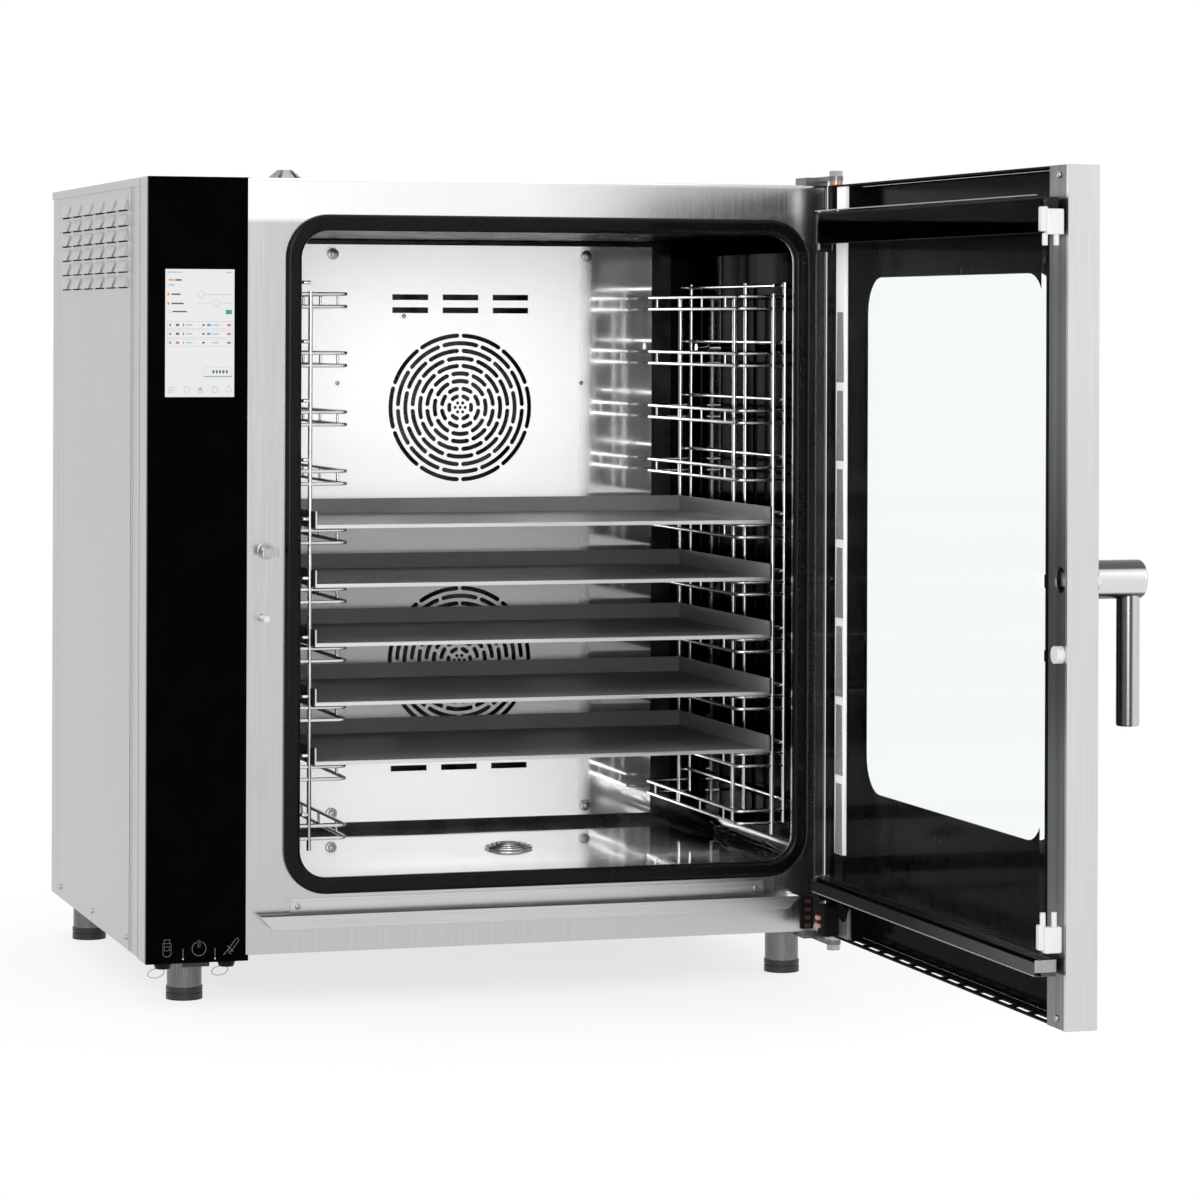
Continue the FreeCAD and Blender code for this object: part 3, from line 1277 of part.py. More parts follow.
def cable_gland():
    inner_y = REAR_INNER_Y - GLAND_NUT
    neck = rod_y(GLAND_X, inner_y, REAR_Y + GLAND_NUT + GLAND_DOME, GLAND_Z, GLAND_NECK_RADIUS)
    inner_nut = rod_y(GLAND_X, inner_y, REAR_INNER_Y, GLAND_Z, GLAND_RADIUS)
    outer_nut = rod_y(GLAND_X, REAR_Y, REAR_Y + GLAND_NUT, GLAND_Z, GLAND_RADIUS)
    bore = rod_y(GLAND_X, 0, 2 * DEPTH, GLAND_Z, GLAND_BORE)
    return fuse([neck, inner_nut, outer_nut]).cut(bore)


# Feet and gutter


def foot_places():
    return [
        (FOOT_FRONT_LEFT_X, FOOT_FRONT_Y),
        (FOOT_FRONT_RIGHT_X, FOOT_FRONT_Y),
        (FOOT_REAR_INSET, FOOT_REAR_Y),
        (WIDTH - FOOT_REAR_INSET, FOOT_REAR_Y),
    ]


def foot_tubes():
    tubes = [rod_z(x, y, FOOT_END_HEIGHT, SKIRT_Z, FOOT_TUBE_RADIUS) for x, y in foot_places()]
    return Part.makeCompound(tubes)


def foot_ends():
    ends = []
    for x, y in foot_places():
        rings = [
            rod_z(x, y, 0, FOOT_GROOVE_BOTTOM_Z, FOOT_END_RADIUS),
            rod_z(x, y, FOOT_GROOVE_BOTTOM_Z, FOOT_GROOVE_TOP_Z, FOOT_END_RADIUS - FOOT_GROOVE),
            rod_z(x, y, FOOT_GROOVE_TOP_Z, FOOT_END_HEIGHT, FOOT_END_RADIUS),
        ]
        ends.append(fuse(rings))
    return Part.makeCompound(ends)


def gutter_block(inset, top_z, front_y, back_y):
    # A trough shape with slanted ends
    bottom_z = GUTTER_TOP_Z - GUTTER_HEIGHT + inset
    slope = GUTTER_HEIGHT - inset
    rise = top_z - GUTTER_TOP_Z
    points = [
        Vector(GUTTER_LEFT + inset - rise, back_y, top_z),
        Vector(GUTTER_RIGHT - inset + rise, back_y, top_z),
        Vector(GUTTER_RIGHT - inset - slope, back_y, bottom_z),
        Vector(GUTTER_LEFT + inset + slope, back_y, bottom_z),
    ]
    return prism(points, Vector(0, front_y - back_y, 0))


def drip_gutter():
    outer = gutter_block(0, GUTTER_TOP_Z, -GUTTER_PROUD, 0)
    inner = gutter_block(SHEET, GUTTER_TOP_Z + SHEET, SHEET - GUTTER_PROUD, -SHEET)
    flange = box(
        GUTTER_LEFT + GUTTER_FLANGE_INSET,
        GUTTER_RIGHT - GUTTER_FLANGE_INSET,
        -SHEET,
        0,
        GUTTER_TOP_Z,
        GUTTER_TOP_Z + GUTTER_FLANGE_HEIGHT,
    )
    return fuse([outer.cut(inner), flange])


# Door hinges, latch and switch


def hinge_arm(bottom_z):
    half = ARM_WIDTH / 2
    bar = box(HINGE_X - half, HINGE_X + half, HINGE_Y, BRACKET_BACK_Y, bottom_z, bottom_z + ARM_THICK)
    end = rod_z(HINGE_X, HINGE_Y, bottom_z, bottom_z + ARM_THICK, half)
    return [bar, end]


def hinge_brackets():
    upper_arm_z = DOOR_TOP_Z + SEAT_GAP + PIN_SHOULDER
    lower_arm_z = DOOR_BOTTOM_Z - SEAT_GAP - PIN_SHOULDER - ARM_THICK
    bore = rod_z(HINGE_X, HINGE_Y, 0, 2 * TOP_Z, PIN_RADIUS + SHAFT_GAP / 2)
    right = HINGE_X + ARM_WIDTH / 2
    upper_foot = box(BRACKET_LEFT, right, BRACKET_FRONT_Y, BRACKET_BACK_Y, TOP_Z, upper_arm_z + ARM_THICK)
    lower_foot = box(BRACKET_LEFT, right, BRACKET_FRONT_Y, BRACKET_BACK_Y, lower_arm_z, FRAME_BOTTOM_Z)
    upper = fuse([upper_foot] + hinge_arm(upper_arm_z)).cut(bore)
    lower = fuse([lower_foot] + hinge_arm(lower_arm_z)).cut(bore)
    return Part.makeCompound([upper, lower])


def hinge_pin(door_face_z, outward):
    # A shoulder bolt: shank into the door, shoulder between door and arm, hexagon head beyond the arm
    def level(distance):
        return door_face_z + outward * distance

    def stage(near, far, radius):
        return rod_z(HINGE_X, HINGE_Y, min(level(near), level(far)), max(level(near), level(far)), radius)

    shoulder_end = SEAT_GAP + PIN_SHOULDER
    head_start = shoulder_end + ARM_THICK
    points = []
    for i in range(6):
        angle = math.radians(60 * i)
        points.append(
            Vector(
                HINGE_X + PIN_HEAD_RADIUS * math.cos(angle),
                HINGE_Y + PIN_HEAD_RADIUS * math.sin(angle),
                level(head_start),
            )
        )
    head = prism(points, Vector(0, 0, outward * PIN_HEAD))
    shank = stage(-PIN_REACH, head_start, PIN_RADIUS)
    shoulder = stage(SEAT_GAP, shoulder_end, PIN_SHOULDER_RADIUS)
    return fuse([shank, shoulder, head])


def hinge_pins():
    return Part.makeCompound([hinge_pin(DOOR_TOP_Z, 1), hinge_pin(DOOR_BOTTOM_Z, -1)])


def latch_striker():
    base = rod_y(LATCH_X, -STRIKER_BASE, 0, LATCH_Z, STRIKER_BASE_RADIUS)
    stem = rod_y(LATCH_X, -STRIKER_LENGTH, 0, LATCH_Z, STRIKER_STEM_RADIUS)
    head = box(
        LATCH_X - STRIKER_HEAD_WIDTH / 2,
        LATCH_X + STRIKER_HEAD_WIDTH / 2,
        -STRIKER_LENGTH,
        STRIKER_HEAD - STRIKER_LENGTH,
        LATCH_Z - STRIKER_HEAD_HEIGHT / 2,
        LATCH_Z + STRIKER_HEAD_HEIGHT / 2,
    )
    return fuse([base, stem, head])


def door_switch():
    half = SWITCH_BODY / 2
    body = box(
        SWITCH_X - half,
        SWITCH_X + half,
        FRAME_SHEET,
        FRAME_SHEET + SWITCH_DEPTH,
        SWITCH_Z - half,
        SWITCH_Z + half,
    )
    bore_end = FRAME_SHEET + SWITCH_DEPTH - SHEET
    return body.cut(rod_y(SWITCH_X, 0, bore_end, SWITCH_Z, PLUNGER_RADIUS + SHAFT_GAP))


def door_switch_plunger():
    return rod_y(SWITCH_X, -PLUNGER_PROUD, PLUNGER_INSIDE, SWITCH_Z, PLUNGER_RADIUS)


# Door


def door_edge_channel():
    right = DOOR_LEFT + CHANNEL_WIDTH
    web_x = DOOR_LEFT + DOOR_SHEET
    web = box(DOOR_LEFT, web_x, DOOR_OUTER_Y, DOOR_INNER_Y, DOOR_BOTTOM_Z, DOOR_TOP_Z)
    inner = box(DOOR_LEFT, right, DOOR_INNER_Y - DOOR_SHEET, DOOR_INNER_Y, DOOR_BOTTOM_Z, DOOR_TOP_Z)
    outer = box(DOOR_LEFT, right, DOOR_OUTER_Y, DOOR_OUTER_Y + DOOR_SHEET, DOOR_BOTTOM_Z, DOOR_TOP_Z)
    middle_y = (DOOR_INNER_Y + DOOR_OUTER_Y) / 2
    latch_hole = rod_y(LATCH_X, middle_y, 0, LATCH_Z, LATCH_HOLE_RADIUS)
    spindle_hole = rod_y(LATCH_X, 2 * DOOR_OUTER_Y, middle_y, LATCH_Z, SPINDLE_RADIUS + SHAFT_GAP)
    return cut(fuse([web, inner, outer]), [latch_hole, spindle_hole])


def door_outer_glass():
    return box(
        DOOR_LEFT + CHANNEL_WIDTH, DOOR_RIGHT, DOOR_OUTER_Y, DOOR_GLASS_BACK_Y, DOOR_BOTTOM_Z, DOOR_TOP_Z
    )


def door_plate(bottom_z):
    # A closing plate with an ear round the hinge pin
    top_z = bottom_z + DOOR_SHEET
    half = POST_SIZE / 2
    plate = box(
        DOOR_LEFT + DOOR_SHEET, DOOR_RIGHT, DOOR_GLASS_BACK_Y, DOOR_INNER_Y - DOOR_SHEET, bottom_z, top_z
    )
    ear = box(HINGE_X - half, DOOR_RIGHT, DOOR_GLASS_BACK_Y, HINGE_Y + half, bottom_z, top_z)
    return fuse([plate, ear]).cut(rod_z(HINGE_X, HINGE_Y, 0, 2 * TOP_Z, PIN_RADIUS + SHAFT_GAP))


def door_bottom_plate():
    middle_y = (DOOR_GLASS_BACK_Y + DOOR_INNER_Y - DOOR_SHEET) / 2 + PLATE_SLOT_OFFSET
    front_y = middle_y - PLATE_SLOT_WIDTH / 2
    back_y = middle_y + PLATE_SLOT_WIDTH / 2
    half = PLATE_SLOT_LENGTH / 2
    slots = []
    for i in range(PLATE_SLOTS):
        x = PLATE_SLOT_FIRST_X + i * PLATE_SLOT_PITCH
        slots.append(box(x - half, x + half, front_y, back_y, 0, TOP_Z))
    return cut(door_plate(DOOR_BOTTOM_Z), slots)


def upper_lug_top():
    return PANE_TOP_Z + RAIL_LIP - TOP_RAIL_HEIGHT - SEAT_GAP


def lower_lug_top():
    return PANE_BOTTOM_Z - RAIL_LIP - SEAT_GAP


def door_hinge_post():
    half = POST_SIZE / 2
    low_z = DOOR_BOTTOM_Z + DOOR_SHEET
    high_z = DOOR_TOP_Z - DOOR_SHEET
    outer = box(HINGE_X - half, HINGE_X + half, HINGE_Y - half, HINGE_Y + half, low_z, high_z)
    bore = half - POST_WALL
    inner = box(HINGE_X - bore, HINGE_X + bore, HINGE_Y - bore, HINGE_Y + bore, 0, TOP_Z)
    lug_back_y = LUG_FRONT_Y - LUG_DEPTH
    arm_x = HINGE_X - half
    lugs = []
    for top_z in (upper_lug_top(), lower_lug_top()):
        lug = box(LUG_LEFT, arm_x + POST_WALL, lug_back_y, LUG_FRONT_Y, top_z - LUG_HEIGHT, top_z)
        web = box(arm_x, arm_x + POST_WALL, HINGE_Y, lug_back_y, top_z - LUG_HEIGHT, top_z)
        lugs.append(fuse([lug, web]).cut(rod_z(PIVOT_X, PIVOT_Y, 0, TOP_Z, PIVOT_RADIUS + SHAFT_GAP)))
    return fuse([outer.cut(inner)] + lugs)


def door_light():
    left_x = LIGHT_RIGHT - LIGHT_WIDTH
    return box(left_x, LIGHT_RIGHT, HINGE_Y, LIGHT_FRONT_Y, LIGHT_BOTTOM_Z, LIGHT_TOP_Z)


def switch_pad():
    return rod_y(SWITCH_X, DOOR_INNER_Y, DOOR_INNER_Y + PAD_THICK, SWITCH_Z, PAD_RADIUS)


# Inner pane of the door


def pane_blank():
    return box(PANE_LEFT, PANE_RIGHT, PANE_BACK_Y, PANE_FACE_Y, PANE_BOTTOM_Z, PANE_TOP_Z)


def inner_pane():
    # The free edge is notched where the latch striker and the switch plunger pass
    pane = pane_blank()
    for x, z, half_width, half_height in (
        (LATCH_X, LATCH_Z, STRIKER_HEAD_WIDTH / 2, STRIKER_HEAD_HEIGHT / 2),
        (SWITCH_X, SWITCH_Z, PLUNGER_RADIUS, PLUNGER_RADIUS),
    ):
        notch_x = x + half_width + PANE_NOTCH_GAP
        half = half_height + PANE_NOTCH_GAP
        pane = pane.cut(box(DOOR_LEFT, notch_x, PANE_BACK_Y, PANE_FACE_Y, z - half, z + half))
    return pane


def pane_rails():
    front_y = PANE_BACK_Y
    back_y = front_y - RAIL_DEPTH
    top_z = PANE_TOP_Z + RAIL_LIP
    low_z = PANE_BOTTOM_Z - RAIL_LIP
    rail_z = top_z - TOP_RAIL_HEIGHT
    top_rail = box(RAIL_LEFT, RAIL_RIGHT, back_y, front_y, rail_z, top_z)
    top_lip = box(RAIL_LEFT, PANE_RIGHT, front_y, PANE_FACE_Y, PANE_TOP_Z, top_z)
    top_pin = rod_z(PIVOT_X, PIVOT_Y, rail_z - PIVOT_LENGTH, rail_z, PIVOT_RADIUS)
    trough = box(RAIL_LEFT, RAIL_RIGHT, back_y, front_y, low_z, low_z + BOTTOM_RAIL_HEIGHT)
    hollow = box(
        RAIL_LEFT + RAIL_WALL,
        RAIL_RIGHT - RAIL_WALL,
        back_y + RAIL_WALL,
        front_y - RAIL_WALL,
        low_z + RAIL_WALL,
        PANE_TOP_Z,
    )
    low_lip = box(RAIL_LEFT, PANE_RIGHT, front_y, PANE_FACE_Y, low_z, PANE_BOTTOM_Z)
    low_pin = rod_z(PIVOT_X, PIVOT_Y, low_z - PIVOT_LENGTH, low_z, PIVOT_RADIUS)
    upper = fuse([top_rail, top_lip, top_pin])
    lower = fuse([trough.cut(hollow), low_lip, low_pin])
    return Part.makeCompound([upper, lower])


def pane_clips():
    back_y = DOOR_INNER_Y + SEAT_GAP
    clips = []
    for z in (CLIP_LOWER_Z, CLIP_UPPER_Z):
        block = box(CLIP_LEFT, CLIP_RIGHT, back_y, CLIP_FRONT_Y, z, z + CLIP_HEIGHT)
        upright = [e for e in block.Edges if abs(e.tangentAt(e.FirstParameter).z) > 0.9]
        edges = [e for e in upright if abs(e.CenterOfMass.y - CLIP_FRONT_Y) < SEAT_GAP]
        clips.append(block.makeFillet(CLIP_ROUND, edges).cut(pane_blank()))
    return Part.makeCompound(clips)


# Handle


def handle_hub():
    outer_y = DOOR_OUTER_Y - SEAT_GAP
    end_y = outer_y - HUB_LENGTH
    hub = rod_y(LATCH_X, end_y, outer_y, LATCH_Z, HUB_RADIUS)
    end_edges = [e for e in hub.Edges if abs(e.BoundBox.YMax - end_y) < SEAT_GAP]
    hub = hub.makeFillet(HUB_ROUND, end_edges)
    spindle = rod_y(LATCH_X, outer_y, CAM_BACK_Y, LATCH_Z, SPINDLE_RADIUS)
    cam = box(
        LATCH_X - CAM_WIDTH / 2,
        LATCH_X + CAM_WIDTH / 2,
        CAM_BACK_Y - CAM_THICK,
        CAM_BACK_Y,
        LATCH_Z - CAM_HEIGHT / 2,
        LATCH_Z + CAM_HEIGHT / 2,
    )
    return fuse([hub, spindle, cam])


def handle_lever():
    y = DOOR_OUTER_Y - SEAT_GAP - HUB_LENGTH + LEVER_END_INSET
    bar = rod_z(LATCH_X, y, LEVER_BOTTOM_Z, LATCH_Z, LEVER_RADIUS)
    end_edges = [e for e in bar.Edges if abs(e.BoundBox.ZMax - LEVER_BOTTOM_Z) < SEAT_GAP]
    bar = bar.makeFillet(LEVER_ROUND, end_edges)
    return bar.cut(rod_y(LATCH_X, 2 * y, 0, LATCH_Z, HUB_RADIUS + LEVER_SEAT))


def fixed_pieces():
    left_post = RACK_MID_X - RACK_POST
    right_post = RACK_MID_X + RACK_POST
    return {
        "base_pan": base_pan(),
        "left_side_panel": left_side_panel(),
        "right_side_panel": right_side_panel(),
        "top_cover": top_cover(),
        "rear_panel": rear_panel(),
        "front_frame": front_frame(),
        "door_gasket": door_gasket(),
        "control_housing": control_housing(),
        "control_glass": control_glass(),
        "touch_display": touch_display(),
        "power_board": power_board(),
        "cooling_fan_frame": cooling_fan_frame(),
        "cavity_left_wall": cavity_side_wall(CAVITY_LEFT, -1, left_post),
        "cavity_right_wall": cavity_side_wall(CAVITY_RIGHT, 1, right_post),
        "cavity_floor": cavity_floor(),
        "cavity_ceiling": cavity_ceiling(),
        "cavity_rear_wall": cavity_rear_wall(),
        "cavity_insulation": cavity_insulation(),
        "fan_baffle": fan_baffle(),
        "heating_elements": Part.makeCompound([heating_element(z) for z in (FAN_UPPER_Z, FAN_LOWER_Z)]),
        "fan_motors": Part.makeCompound([fan_motor(z) for z in (FAN_UPPER_Z, FAN_LOWER_Z)]),
        "rack_left": tray_rack(-1),
        "rack_right": tray_rack(1),
        "drain_pipe": drain_pipe(),
        "vent_chimney": vent_chimney(),
        "water_valve": water_valve(),
        "steam_pipe": steam_pipe(),
        "cable_gland": cable_gland(),
        "foot_tubes": foot_tubes(),
        "foot_ends": foot_ends(),
        "drip_gutter": drip_gutter(),
        "hinge_brackets": hinge_brackets(),
        "hinge_pins": hinge_pins(),
        "latch_striker": latch_striker(),
        "door_switch": door_switch(),
    }


def moving_pieces():
    pieces = {
        "usb_cap": port_cap(USB_X),
        "probe_cap": port_cap(PROBE_X),
        "power_button": power_button(),
        "cooling_fan_rotor": cooling_fan_rotor(),
        "fan_wheel_upper": fan_wheel(FAN_UPPER_Z),
        "fan_wheel_lower": fan_wheel(FAN_LOWER_Z),
        "drain_strainer": drain_strainer(),
        "door_switch_plunger": door_switch_plunger(),
    }
    for number in range(TRAY_COUNT):
        pieces["tray_" + str(number + 1)] = tray(number)
    return pieces


def door_pieces():
    return {
        "door_edge_channel": door_edge_channel(),
        "door_outer_glass": door_outer_glass(),
        "door_top_plate": door_plate(DOOR_TOP_Z - DOOR_SHEET),
        "door_bottom_plate": door_bottom_plate(),
        "door_hinge_post": door_hinge_post(),
        "door_light": door_light(),
        "switch_pad": switch_pad(),
        "inner_pane": inner_pane(),
        "pane_rails": pane_rails(),
        "pane_clips": pane_clips(),
        "handle_hub": handle_hub(),
        "handle_lever": handle_lever(),
    }


for name, shape in fixed_pieces().items():
    save(name, shape)
for name, shape in moving_pieces().items():
    save(name, shape)
for name, shape in door_pieces().items():
    save(name, swing_open(shape))
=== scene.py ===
import math

import bmesh
import bpy
from mathutils import Matrix, Vector


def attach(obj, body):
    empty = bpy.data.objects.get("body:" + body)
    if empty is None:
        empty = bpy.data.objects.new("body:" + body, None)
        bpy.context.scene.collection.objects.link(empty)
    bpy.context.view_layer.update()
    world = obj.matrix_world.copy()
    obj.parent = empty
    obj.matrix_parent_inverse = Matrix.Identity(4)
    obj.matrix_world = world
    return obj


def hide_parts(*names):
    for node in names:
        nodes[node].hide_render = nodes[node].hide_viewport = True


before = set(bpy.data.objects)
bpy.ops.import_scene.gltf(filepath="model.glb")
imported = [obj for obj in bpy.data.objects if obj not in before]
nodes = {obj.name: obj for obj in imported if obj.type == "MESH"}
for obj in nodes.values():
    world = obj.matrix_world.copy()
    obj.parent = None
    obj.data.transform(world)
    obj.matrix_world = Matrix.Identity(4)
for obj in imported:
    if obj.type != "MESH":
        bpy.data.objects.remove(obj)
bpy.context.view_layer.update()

MM = 0.001
X, Y, Z = range(3)


# Places, in millimetres

ORIGIN_X, ORIGIN_Y = 403.0, 71.5
HINGE_X, HINGE_Y = 770.0, -43.0
CABINET_BACK = 604.0
CAVITY_MIDDLE = 462.0
BAFFLE_FACE = 425.0


def cab(x, y, z):
    # A place on the cabinet, from its left front edge on the floor
    return Vector(((x - ORIGIN_X) * MM, (y - ORIGIN_Y) * MM, z * MM))


def leaf(x, y, z):
    # A place on the door as if it were shut, moved to where the open door is
    return cab(HINGE_X + HINGE_Y - y, x - HINGE_X + HINGE_Y, z)


def plain(x, y, z):
    # A direction, or a place on a small piece at the origin
    return Vector((x, y, z)) * MM


def depth(y):
    # How far back a place on the cabinet is, in metres
    return (y - ORIGIN_Y) * MM


def ring(x, y, z, radius, count):
    turn = 2 * math.pi / count
    return [
        cab(x + radius * math.cos(i * turn), y + radius * math.sin(i * turn), z)
        for i in range(count)
    ]


# Shader nodes


def feed(tree, socket, item):
    # A link from another node, or a plain value
    if hasattr(item, "is_output"):
        tree.links.new(item, socket)
    else:
        socket.default_value = item


def noise(tree, vector, scale, detail):
    node = tree.nodes.new("ShaderNodeTexNoise")
    for label, item in (("Vector", vector), ("Scale", scale), ("Detail", detail)):
        feed(tree, node.inputs[label], item)
    return node.outputs[0]


def ramp(tree, value, low, high, start, end):
    node = tree.nodes.new("ShaderNodeMapRange")
    for index, item in enumerate((value, low, high, start, end)):
        feed(tree, node.inputs[index], item)
    return node.outputs[0]


def mix_colour(tree, factor, first, second):
    node = tree.nodes.new("ShaderNodeMix")
    node.data_type = "RGBA"
    for index, item in ((0, factor), (6, first), (7, second)):
        feed(tree, node.inputs[index], item)
    return node.outputs[2]


def calc(tree, operation, first, second):
    node = tree.nodes.new("ShaderNodeMath")
    node.operation = operation
    for index, item in enumerate((first, second)):
        feed(tree, node.inputs[index], item)
    return node.outputs[0]


def shares(tree, first, second, share):
    # Two patterns added, the first one with this share
    near = calc(tree, "MULTIPLY", first, share)
    return calc(tree, "ADD", near, calc(tree, "MULTIPLY", second, 1.0 - share))


def coordinate(tree, axis):
    place = tree.nodes.new("ShaderNodeTexCoord")
    parts = tree.nodes.new("ShaderNodeSeparateXYZ")
    tree.links.new(place.outputs["Object"], parts.inputs[0])
    return parts.outputs[axis]


# Shader groups

COLOUR = "NodeSocketColor"
NUMBER = "NodeSocketFloat"
ARROW = "NodeSocketVector"


def start_group(name, detail, kind):
    # A group with the inputs of every finish and the one that sizes its own pattern
    tree = bpy.data.node_groups.new(name, "ShaderNodeTree")
    for label, socket in (
        ("Dark", COLOUR), ("Light", COLOUR), (detail, kind), ("Smooth", NUMBER), ("Rough", NUMBER)
    ):
        tree.interface.new_socket(label, in_out="INPUT", socket_type=socket)
    for label, socket in (("Color", COLOUR), ("Roughness", NUMBER), ("Height", NUMBER)):
        tree.interface.new_socket(label, in_out="OUTPUT", socket_type=socket)
    place = tree.nodes.new("ShaderNodeTexCoord")
    return tree, tree.nodes.new("NodeGroupInput").outputs, place.outputs["Object"]


def end_group(tree, given, pattern, low, high, height):
    # Shade and roughness follow the pattern between its low and high values
    outlet = tree.nodes.new("NodeGroupOutput").inputs
    spread = ramp(tree, pattern, low, high, 0.0, 1.0)
    rough = ramp(tree, pattern, low, high, given["Smooth"], given["Rough"])
    tree.links.new(mix_colour(tree, spread, given["Dark"], given["Light"]), outlet["Color"])
    tree.links.new(rough, outlet["Roughness"])
    tree.links.new(height, outlet["Height"])
    return tree


def make_grain_group():
    # Drawn-out scratches along one direction with soft hand marks over them
    tree, given, place = start_group("drawn_grain", "Grain", ARROW)
    stretch = tree.nodes.new("ShaderNodeVectorMath")
    stretch.operation = "MULTIPLY"
    tree.links.new(place, stretch.inputs[0])
    tree.links.new(given["Grain"], stretch.inputs[1])
    lines = noise(tree, stretch.outputs[0], scale=1.0, detail=4.0)
    marks = noise(tree, place, scale=5.0, detail=2.0)
    return end_group(tree, given, shares(tree, lines, marks, 0.7), 0.3, 0.7, lines)


def make_sheet_group():
    # Bright rolled sheet: slow waves and a little haze
    tree, given, place = start_group("rolled_sheet", "Wave", NUMBER)
    waves = noise(tree, place, given["Wave"], detail=1.0)
    haze = noise(tree, place, scale=26.0, detail=5.0)
    return end_group(tree, given, haze, 0.35, 0.65, waves)


def make_speckle_group():
    # Moulded or coated surface: fine pits and a slow change of shade
    tree, given, place = start_group("moulded_speckle", "Pits", NUMBER)
    pits = noise(tree, place, given["Pits"], detail=2.0)
    slow = noise(tree, place, scale=9.0, detail=2.0)
    return end_group(tree, given, shares(tree, pits, slow, 0.6), 0.35, 0.65, pits)


GRAIN = make_grain_group()
SHEET = make_sheet_group()
SPECKLE = make_speckle_group()


# Materials

BAND_EDGE = 0.002


def shade(value):
    # A grey from one number, or a colour from three
    return (*value, 1.0) if isinstance(value, tuple) else (value, value, value, 1.0)


def surface(name, group_tree, shades, rough, detail, bump, metallic, **sockets):
    # Pairs: dark and light shade, smooth and rough, the bump's strength and depth in millimetres
    material = bpy.data.materials.new(name)
    material.use_nodes = True
    tree = material.node_tree
    shader = tree.nodes["Principled BSDF"]
    shader.inputs["Metallic"].default_value = metallic
    for socket, value in sockets.items():
        shader.inputs[socket.replace("_", " ")].default_value = value
    group = tree.nodes.new("ShaderNodeGroup")
    group.node_tree = group_tree
    for socket, value in zip(group.inputs, (shade(shades[0]), shade(shades[1]), detail, *rough)):
        socket.default_value = value
    tree.links.new(group.outputs["Color"], shader.inputs["Base Color"])
    tree.links.new(group.outputs["Roughness"], shader.inputs["Roughness"])
    relief = tree.nodes.new("ShaderNodeBump")
    relief.inputs["Strength"].default_value = bump[0]
    relief.inputs["Distance"].default_value = bump[1] * MM
    tree.links.new(group.outputs["Height"], relief.inputs["Height"])
    tree.links.new(relief.outputs["Normal"], shader.inputs["Normal"])
    return material


def brushed(name, shades, rough, grain, bump, metallic=1.0, **sockets):
    return surface(name, GRAIN, shades, rough, grain, bump, metallic, **sockets)


def rolled(name, shades, rough, wave, bump, metallic=1.0, **sockets):
    return surface(name, SHEET, shades, rough, wave, bump, metallic, **sockets)


def moulded(name, shades, rough, pits, bump, metallic=0.0, **sockets):
    return surface(name, SPECKLE, shades, rough, pits, bump, metallic, **sockets)


def recolour(material, factor, value):
    tree = material.node_tree
    base = tree.nodes["Principled BSDF"].inputs["Base Color"]
    tree.links.new(mix_colour(tree, factor, base.links[0].from_socket, shade(value)), base)


def add_band(material, axis, low, high, value):
    # A strip of another shade between two places along an axis
    tree = material.node_tree
    along = coordinate(tree, axis)
    rise = ramp(tree, along, low, low + BAND_EDGE, 0.0, 1.0)
    fall = ramp(tree, along, high - BAND_EDGE, high, 1.0, 0.0)
    recolour(material, calc(tree, "MULTIPLY", rise, fall), value)


def split_by_axis(name, first, second, axis, limit, edge=0.0002):
    # Two finishes on one piece, or a lit and a shaded copy of one finish as painted light, the
    # second one beyond a place along an axis
    material = first.copy()
    material.name = name
    tree = material.node_tree
    shader = tree.nodes["Principled BSDF"].inputs
    far = second.node_tree.nodes["Principled BSDF"].inputs
    beyond = ramp(tree, coordinate(tree, axis), limit - edge, limit + edge, 0.0, 1.0)
    far_group = next(n for n in second.node_tree.nodes if n.type == "GROUP")
    group = tree.nodes.new("ShaderNodeGroup")
    group.node_tree = far_group.node_tree
    for socket, far_socket in zip(group.inputs, far_group.inputs):
        socket.default_value = far_socket.default_value
    near_colour = shader["Base Color"].links[0].from_socket
    near_rough = shader["Roughness"].links[0].from_socket
    colour = mix_colour(tree, beyond, near_colour, group.outputs["Color"])
    rough = ramp(tree, beyond, 0.0, 1.0, near_rough, group.outputs["Roughness"])
    tree.links.new(colour, shader["Base Color"])
    tree.links.new(rough, shader["Roughness"])
    near_metal, far_metal = (inputs["Metallic"].default_value for inputs in (shader, far))
    if near_metal != far_metal:
        metal = ramp(tree, beyond, 0.0, 1.0, near_metal, far_metal)
        tree.links.new(metal, shader["Metallic"])
    shader["Specular IOR Level"].default_value = far["Specular IOR Level"].default_value
    return material


def lit_mark(name, colour):
    # A lit spot on the screen, or a print on the glass given the same glow as painted light, with a
    # fine pixel grain
    dimmed = tuple(0.93 * c for c in colour)
    material = moulded(
        name, (dimmed, colour), (0.4, 0.5), 2600.0, (0.01, 0.1),
        Specular_IOR_Level=0.02, Emission_Strength=0.95,
    )
    shader = material.node_tree.nodes["Principled BSDF"]
    light = shader.inputs["Base Color"].links[0].from_socket
    recolour(material, 0.95, 0.0)
    material.node_tree.links.new(light, shader.inputs["Emission Color"])
    return material


# How densely the grain lies along each axis
UPRIGHT = (900.0, 900.0, 9.0)
ACROSS = (9.0, 900.0, 900.0)
INWARD = (900.0, 9.0, 900.0)
DRAWN = (700.0, 700.0, 60.0)
FLANGE_STREAKS = (0.0, 110.0, 0.5)
WALL_GRAIN_AND_REFLECTIONS = (0.0, 16.0, 0.6)
CLEAR = {"IOR": 1.025, "Transmission_Weight": 1.0}

